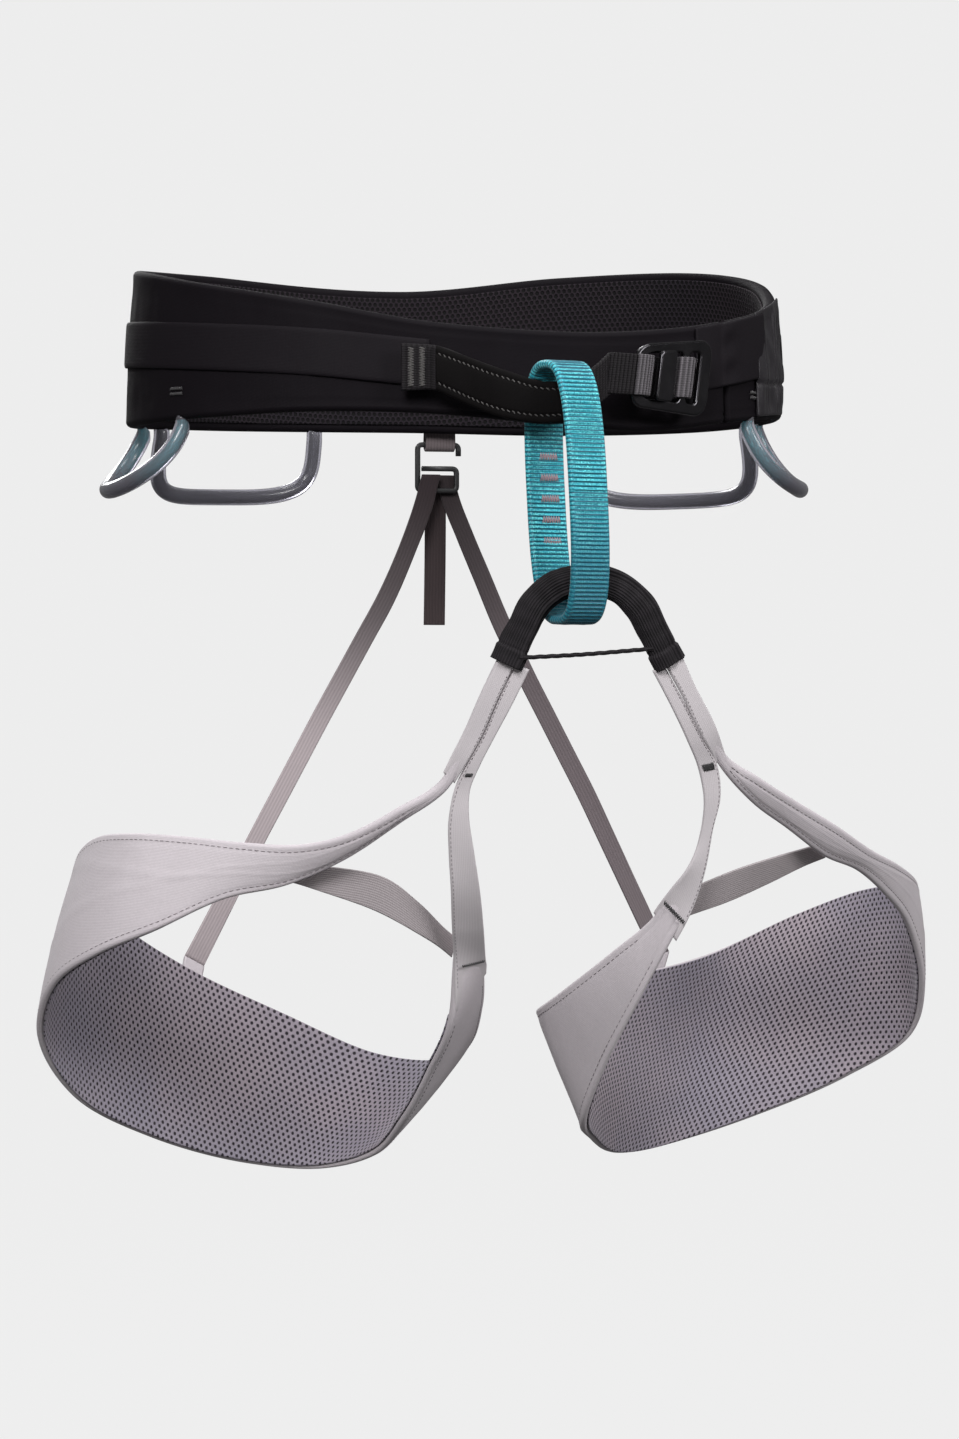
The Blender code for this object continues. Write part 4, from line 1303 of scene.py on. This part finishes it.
def extended_path(points, distance):
    """A path continued straight on past both ends."""
    points = [Vector(point) for point in points]
    first = points[0] + (points[0] - points[1]).normalized() * distance
    last = points[-1] + (points[-1] - points[-2]).normalized() * distance
    return [first] + points + [last]


# ---------------------------------------------------------------- buckle


def outline(width, height, corner, centre_x=0.0):
    """A rectangle with round corners, as a list of points."""
    points = []
    for turn in range(4):
        middle_x = centre_x + (width / 2 - corner) * (1 if turn in (0, 3) else -1)
        middle_y = (height / 2 - corner) * (1 if turn in (0, 1) else -1)
        for step in range(9):
            t = math.radians(90 * turn + 11.25 * step)
            points.append((middle_x + corner * math.cos(t), middle_y + corner * math.sin(t)))
    return points


def leaned(points):
    """Outline points in the buckle's slanting shape: leaning sides, and taller towards +X."""
    return [(x + y * BUCKLE_LEAN, y * (1 + x * BUCKLE_TAPER)) for x, y in points]


def plate(name, outlines, thickness, bevel, colour, place):
    """A flat plate with windows and round edges, standing in the buckle's plane."""
    curve = bpy.data.curves.new(name, "CURVE")
    curve.dimensions = "2D"
    curve.fill_mode = "BOTH"
    curve.extrude = (thickness / 2 - bevel) * MM
    curve.bevel_depth = bevel * MM
    curve.bevel_resolution = 4
    curve.offset = -bevel * MM
    for points in outlines:
        spline = curve.splines.new("POLY")
        spline.points.add(len(points) - 1)
        for slot, (x, y) in zip(spline.points, points):
            slot.co = (x * MM, y * MM, 0.0, 1.0)
        spline.use_cyclic_u = True
    source = bpy.data.objects.new(name + "_curve", curve)
    bpy.context.scene.collection.objects.link(source)
    bpy.context.view_layer.update()
    graph = bpy.context.evaluated_depsgraph_get()
    mesh = bpy.data.meshes.new_from_object(source.evaluated_get(graph))
    bpy.data.objects.remove(source)
    mesh.name = name
    mesh.materials.clear()
    mesh.materials.append(colour)
    made = bpy.data.objects.new(name, mesh)
    bpy.context.scene.collection.objects.link(made)
    along, inward = buckle_ways()
    for vertex in mesh.vertices:
        x, z, depth = vertex.co * 1000.0
        point = Vector(BUCKLE_PLACE) + along * (x + place[0]) + inward * (place[1] - depth)
        vertex.co = mm(point + Vector((0, 0, z)))
    mesh.shade_smooth()
    mesh.set_sharp_from_angle(angle=math.radians(50))
    return made


def buckle_ways():
    """Along the belt and inwards from it, at the buckle."""
    along = Vector((math.cos(BUCKLE_TURN), math.sin(BUCKLE_TURN), 0))
    inward = Vector((-math.sin(BUCKLE_TURN), math.cos(BUCKLE_TURN), 0))
    return along, inward


def make_buckle():
    """The frame, the lock bar and the ribbed webbing threaded through them."""
    wide_window = outline(16.6, 18.6, 1.6, -4.1)
    narrow_window = outline(4.8, 18.6, 1.6, 10.0)
    shapes = [leaned(points) for points in (outline(36.0, 27.0, 6.0), wide_window, narrow_window)]
    rim = plate("buckle_rim", shapes, 2.4, 0.8, BLACK_METAL, (0.0, 0.0))
    settle(rim, "waist", "black_metal", "buckle_frame")
    bar_shape = leaned(outline(8.0, 19.0, 1.8, 4.3))
    bar = plate("buckle_bar", [bar_shape], 2.0, 0.7, BLACK_METAL, (-9.0, -3.4))
    settle(bar, "lock_bar", "black_metal", "buckle_lock_bar")
    along, inward = buckle_ways()
    half_width = (Vector((0, 0, 1)) + along * BUCKLE_LEAN) * 7.8

    def ribs(spot):
        return 0.2 * ripple(spot.along, 2.0) * min(1.0, spot.edge / 1.4)

    routes = (
        ("strap", [(-33, -5.0)] + BUCKLE_STRAP_ROUTE[:4], 1.4, BLACK_WEBBING, ["buckle_strap"]),
        ("wrap", [(-19.4, -4.9), (-17.6, -4.7)] + BUCKLE_STRAP_ROUTE[3:], 1.4, GREY_WEBBING, []),
        ("tail", BUCKLE_TAIL_ROUTE, 1.2, BLACK_WEBBING, ["buckle_tail"]),
        ("anchor", BUCKLE_ANCHOR_ROUTE, 1.2, GREY_WEBBING, ["buckle_anchor"]),
    )
    for name, route, thickness, colour, nodes in routes:
        middle = [Vector(BUCKLE_PLACE) + along * x + inward * y for x, y in route]
        pairs = [(point + half_width, point - half_width) for point in middle]
        grid = columns_between(pairs, 0.3, 10, 0.6)
        slab(
            "buckle_webbing_" + name, grid, thickness, 0.6, colour,
            ("waist", "black_webbing", *nodes), lift=ribs,
        )


# ---------------------------------------------------------------- gear loops

# Gear loops: name, angle of each end, drop, distance outwards, roundness, and teal ends or dark ones.
GEAR_LOOPS = (
    ("left_front", -66, -112, 22.0, 10.5, 2.2, True),
    ("left_rear", -122, -163, 24.0, 4.0, 4.2, False),
    ("right_front", 53, 96, 25.0, 10.5, 2.2, True),
    ("right_rear", 101, 146, 25.0, 4.0, 4.2, False),
)


def make_gear_loop(side, start, end, drop, flare, roundness, teal):
    """A translucent sheath round a darker cord, with its ends tucked up into the belt's edge."""
    body = "rack_" + side
    steps = 110
    squareness = 2.0 / roundness
    points = []
    for step in range(steps + 1):
        t = math.pi * step / steps
        across = 0.5 - 0.5 * math.copysign(abs(math.cos(t)) ** squareness, math.cos(t))
        hang = math.sin(t) ** squareness if 0 < step < steps else 0.0
        angle = start + (end - start) * across
        points.append(belt_point(angle, belt_bottom(angle) - 3.0 - hang * drop, flare * hang - 3.0))
    tuck = Vector((0, 0, 3.6))
    points = [points[0] + tuck] + points + [points[-1] + tuck]
    path = smooth([tuple(point) for point in points], 150)
    plane = (path[-1] - path[0]).cross(path[len(path) // 2] - path[0]).normalized()

    def wide(way):
        return plane

    ring_tube(
        "gear_sheath_" + side, path, wide, circle(GEAR_LOOP_RADIUS), GEAR_SHEATH,
        (body, "smoke_plastic", "gear_loop_" + side),
    )
    ends = (0.05, 0.30, 0.32) if teal else (0.012, 0.012, 0.02)
    looks = gear_core("gear_core_looks_" + side, travel(path)[-1], ends)
    ring_tube("gear_core_" + side, path, wide, circle(GEAR_CORE_RADIUS), looks, (body, "smoke_plastic"))


# ---------------------------------------------------------------- leg loops


def make_leg(side, edges, riser, inner, elastic, tucks):
    """One leg loop: padded panel, mesh liner, outer riser, inner strap, elastic and stitches."""
    body = side + "_leg"
    outward = -1.0 if side == "left" else 1.0
    joined = riser[-3:-1] + edges + [(inner[-2][1], inner[-2][0])]
    base = columns_between(joined, 1.5, 24, 1.5, 1.2 * outward)
    middle = pushed(base, -outward * LEG_PAD / 2)
    soft = swell(middle, 0.35, 34.0, 4.0 if side == "left" else 9.0, (1.0, 1.0, 0.6))
    fine = swell(middle, 0.14, 6.0, 6.0, (1.0, 1.0, 0.5))

    def puckers(spot):
        calm = min(1.0, spot.edge / 7.0)
        seam = ridge(spot.edge, 3.0, 0.6, -0.22)
        rise = seam + (soft(spot) + fine(spot)) * calm * 0.7
        if spot.side == outward:
            share = spot.across / spot.width
            first = ridge(share, 0.25 + spot.along * 0.0016, 0.02, 0.25)
            second = ridge(share, 1.05 - spot.along * 0.0045, 0.02, 0.25)
            rise += (first + second) * min(1.0, spot.width / 30.0)
        return rise - 0.15

    panel = slab(
        side + "_leg_padding", middle, LEG_PAD, 1.5, MAUVE_FABRIC,
        (body, "mauve_fabric", side + "_leg_shell", side + "_leg_foam"), lift=puckers,
        fade=(7.0, 9.0),
    )

    inset = []
    narrow = 8
    for column in pushed(base, -outward * (LEG_PAD + LEG_LINER / 2))[24:-14]:
        width = (column[-1] - column[0]).length
        trim = min(2.4, width * 0.3) / width
        rows = len(column) - 1
        shifted = []
        for j in range(rows + 1):
            share = trim + (1 - 2 * trim) * j / rows
            low = min(int(share * rows), rows - 1)
            shifted.append(column[low].lerp(column[low + 1], share * rows - low))
        if width < narrow:
            shifted[0] = column[0].lerp(column[-1], trim)
        inset.append(shifted)
    slab(
        side + "_leg_mesh", inset, LEG_LINER, 0.5, MAUVE_MESH, (body, "mauve_mesh", side + "_leg_liner")
    )

    riser_grid = columns_between(extended(riser, 1.6, 0.0, 0.35), 0.8, 12, 0.9)
    slab(
        side + "_riser_outer", riser_grid, 2.6, 0.9, PALE_WEBBING,
        (body, "pale_webbing", side + "_outer_riser"), fade=(0.0, 14.0),
    )
    inner_grid = columns_between(extended(inner, 0.7, 1.0, 0.35), LEG_INNER_STEP, 14, 0.8)
    slab(
        side + "_riser_inner", inner_grid, 1.7, 0.8, PALE_WEBBING,
        (body, "pale_webbing", side + "_inner_strap"), fade=(0.0, 9.0),
    )
    elastic_grid = columns_between(extended(elastic, *tucks), 0.9, 10, 0.5)
    slab(
        side + "_cross_elastic", elastic_grid, 1.1, 0.5, CROSS_ELASTIC,
        (body, "taupe_elastic", side + "_leg_elastic"),
    )

    # Lines of stitches: the grid, the height above it, the distance from its edge, the faces sewn,
    # the first and the last column, and the pitch.
    threads = Threads()
    for grid, lift, offset, faces, (first, last), pitch in (
        (riser_grid, 1.28, -0.9, (1, -1), (7, -16), 1.7),
        (inner_grid, 0.86, 0.9, (1, -1), (7, -8), 1.8),
        (base, -0.2, 3.0, (outward,), (26, -16), 2.6),
        (base, -0.2, -3.0, (outward,), (26, -16), 2.6),
    ):
        for face in faces:
            line = row_of(grid, offset, lift * face)[first:last]
            threads.line([(point, normal * face) for point, normal in line], pitch, radius=0.13)
    threads.finish(side + "_leg_stitches", GREY_THREAD, body, "pale_webbing")

    # Bar stitches across the inner strap: distance from its start, or before its end when negative,
    # then the length, width, number and height of the stitches.
    if side == "right":
        crossings = ((45.0, 4.6, 3.6, 8, 0.95), (-8.0, 11.0, 1.6, 12, 2.1))
    else:
        crossings = ((45.0, 2.6, 1.8, 5, 0.95), (-17.0, 11.0, 1.2, 12, 2.3))
    bars = Threads()
    for distance, length, width, count, lift in crossings:
        column = round(distance / LEG_INNER_STEP) % len(inner_grid)
        here = inner_grid[column]
        way = (here[-1] - here[0]).normalized()
        along = (inner_grid[column + 1][0] - here[0]).normalized()
        normal = way.cross(along).normalized()
        for face in (1, -1):
            centre = here[len(here) // 2] + normal * (lift * face)
            bars.bartack(centre, way, along, normal * face, length, width, count, radius=0.24)
    bars.finish(side + "_bar_stitches", BLACK_THREAD, body, "pale_webbing")
    return body


def make_anchor(side, edges, column, body):
    """The patch on the leg loop that holds the rear tape. Gives the tape's end at its top edge."""
    outward = -1.0 if side == "left" else 1.0
    six = [(*upper, *lower) for upper, lower in edges]
    base = []
    for sample in smooth(six, 56):
        upper = Vector(sample[:3])
        lower = Vector(sample[3:])
        base.append([upper.lerp(lower, row / 3) for row in range(4)])
    normals = normals_of(base)
    pairs = []
    for i in (column, column + 1):
        up = base[i][0] - base[i][1]
        lifted = normals[i][1] * (outward * 2.2)
        top = base[i][0] + up * 0.24 + normals[i][0] * (outward * 1.15)
        pairs.append((top, base[i][0].lerp(base[i][3], 0.38) + lifted))
    grid = columns_between(pairs, 0.9, 14, 0.5)
    slab(
        side + "_tape_anchor", grid, 1.1, 0.5, MAUVE_FABRIC,
        (body, "mauve_fabric", side + "_rear_anchor"),
    )
    return tuple(sorted((tuple(top) for top, _ in pairs), key=lambda point: point[0]))


def make_rear_elastic(side, route, ends):
    """A tape from the hook down to the leg loop, which bends between the belt and the leg."""
    grid = columns_between(filled(route + [ends], 24.0), 1.2, 10, 0.5)

    def ribs(spot):
        return 0.06 * ripple(spot.across, TAPE_RIB)

    colour = LEFT_TAPE if side == "left" else RIGHT_TAPE
    tape = slab("rear_tape_" + side, grid, 1.1, 0.5, colour, lift=ribs)
    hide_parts("rear_elastic_" + side)
    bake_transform(tape)


def make_rear():
    """The folded belt tab, the hook, and the hanging end of the tape."""
    fold = [(98.2, -20.0), (98.1, -28.0), (98.0, -32.0), (98.5, -34.0), (100.1, -34.8), (101.7, -34.0)]
    fold += [(102.2, -32.0), (101.8, -27.0), (101.0, -22.0)]
    pairs = [((-6.4, y, z), (6.4, y, z)) for y, z in fold]
    slab(
        "belt_tab", columns_between(pairs, 0.5, 12, 0.5), 1.0, 0.5, TAB_TAPE,
        ("waist", "taupe_elastic", "rear_tab"),
    )
    corners = [(8.2, -37.0), (8.2, -32.4), (-9.4, -32.4), (-9.4, -51.6)]
    corners += [(7.4, -51.6), (7.4, -42.4), (-7.6, -42.4)]
    path = []
    for i, (x, z) in enumerate(corners):
        here = Vector((x, HOOK_DEPTH, z))
        if 0 < i < len(corners) - 1:
            before = Vector((corners[i - 1][0], HOOK_DEPTH, corners[i - 1][1]))
            after = Vector((corners[i + 1][0], HOOK_DEPTH, corners[i + 1][1]))
            start = here + (before - here).normalized() * HOOK_CORNER
            end = here + (after - here).normalized() * HOOK_CORNER
            for step in range(7):
                t = step / 6
                path.append(start * (1 - t) ** 2 + here * (2 * t * (1 - t)) + end * t**2)
        else:
            path.append(here)

    def wide(way):
        return Vector((0, 1, 0))

    def bar(i, turn):
        def square(value):
            return math.copysign(abs(value) ** 0.6, value)

        return 1.1 * square(math.cos(turn)), 1.1 * square(math.sin(turn))

    ring_tube("tape_hook", path, wide, bar, BLACK_PLASTIC, ("waist", "black_plastic", "drop_seat_hook"))
    grid = columns_between(extended(REAR_TAIL, wider=0.6), 0.8, 10, 0.5)
    bend = swell(grid, 0.2, 12.0, 1.0)
    slab(
        "tape_tail", grid, 1.3, 0.5, SHADED_TAIL_TAPE, ("tail", "taupe_elastic", "rear_tail"),
        lift=lambda spot: bend(spot) * 0.5,
    )


# ---------------------------------------------------------------- stage


def make_stage():
    """A pale floor that curves up into a wall all round, soft lights, and the camera."""
    floor_height = -0.62
    flat_radius = 4.0
    bend_radius = 1.6
    bend_steps = 12
    wall_height = 6.0
    profile = [(0.001, floor_height), (flat_radius, floor_height)]
    for step in range(1, bend_steps + 1):
        t = math.radians(90 * step / bend_steps)
        profile.append(
            (flat_radius + bend_radius * math.sin(t), floor_height + bend_radius * (1 - math.cos(t)))
        )
    profile.append((flat_radius + bend_radius, wall_height))
    turns = 64
    points = []
    for turn in range(turns):
        t = 2 * math.pi * turn / turns
        points += [(radius * math.cos(t), radius * math.sin(t), height) for radius, height in profile]
    faces = []
    for turn in range(turns):
        here = turn * len(profile)
        after = (turn + 1) % turns * len(profile)
        for k in range(len(profile) - 1):
            faces.append((here + k, after + k, after + k + 1, here + k + 1))
    mesh = bpy.data.meshes.new("studio_floor")
    mesh.from_pydata(points, [], faces)
    mesh.shade_smooth()
    shader = Shader("studio_floor_looks", 0.95, shine=0.0)
    shader.colour((0.01, 0.01, 0.01))
    shader.out.inputs["Emission Color"].default_value = (1.0, 1.0, 1.0, 1.0)
    shader.out.inputs["Emission Strength"].default_value = FLOOR_GLOW
    mesh.materials.append(shader.material)
    floor = bpy.data.objects.new("studio_floor", mesh)
    floor.visible_diffuse = False
    floor.visible_glossy = False
    floor.visible_shadow = False
    bpy.context.scene.collection.objects.link(floor)

    world = bpy.data.worlds.new("studio")
    world.use_nodes = True
    nodes = world.node_tree.nodes
    links = world.node_tree.links
    place = nodes.new("ShaderNodeTexCoord")
    parts = nodes.new("ShaderNodeSeparateXYZ")
    links.new(place.outputs["Generated"], parts.inputs[0])
    height = nodes.new("ShaderNodeMapRange")
    height.interpolation_type = "SMOOTHSTEP"
    height.inputs["From Min"].default_value = -0.6
    height.inputs["From Max"].default_value = 0.8
    height.inputs["To Min"].default_value = ROOM_LIGHT_BELOW
    height.inputs["To Max"].default_value = ROOM_LIGHT_ABOVE
    links.new(parts.outputs["Z"], height.inputs["Value"])
    links.new(height.outputs["Result"], nodes["Background"].inputs["Strength"])
    nodes["Background"].inputs["Color"].default_value = (1.0, 1.0, 1.0, 1.0)
    bpy.context.scene.world = world
    target = Vector((0.0, 0.0, -0.15))
    for name, place, size, power in LIGHTS:
        light = bpy.data.lights.new(name, "AREA")
        light.shape = "DISK"
        light.size = size
        light.energy = power
        lamp = bpy.data.objects.new(name, light)
        lamp.location = place
        lamp.rotation_euler = (target - Vector(place)).to_track_quat("-Z", "Y").to_euler()
        bpy.context.scene.collection.objects.link(lamp)

    view = bpy.data.cameras.new("camera")
    view.lens = CAMERA_LENS
    view.sensor_width = CAMERA_SENSOR
    camera = bpy.data.objects.new("camera", view)
    camera.location = CAMERA_PLACE
    camera.rotation_euler = Vector(CAMERA_WAY).to_track_quat("-Z", "Y").to_euler()
    bpy.context.scene.collection.objects.link(camera)
    bpy.context.scene.camera = camera
    bpy.context.scene.view_settings.view_transform = "Standard"


make_stage()
make_belt()
make_tie_in()
make_belay_loop()
make_lower_tie_in()
make_buckle()
for gear_loop in GEAR_LOOPS:
    make_gear_loop(*gear_loop)
# Column is where the rear tape is sewn on, counted along the leg loop. Tucks are how far the two
# ends of the cross elastic run on under the straps.
for leg_side, leg_edges, outer_strap, inner_strap, cross_strap, rear_route, column in (
    ("left", LEFT_LEG_EDGES, LEFT_OUTER_RISER, LEFT_INNER_STRAP, LEFT_ELASTIC, REAR_ELASTIC_LEFT, 32),
    ("right", RIGHT_LEG_EDGES, RIGHT_OUTER_RISER, RIGHT_INNER_STRAP, RIGHT_ELASTIC, REAR_ELASTIC_RIGHT, 37),
):
    tucks = (2.0, 6.0) if leg_side == "left" else (5.0, 10.0)
    leg_body = make_leg(leg_side, leg_edges, outer_strap, inner_strap, cross_strap, tucks)
    tape_ends = make_anchor(leg_side, leg_edges, column, leg_body)
    make_rear_elastic(leg_side, rear_route, tape_ends)
make_rear()
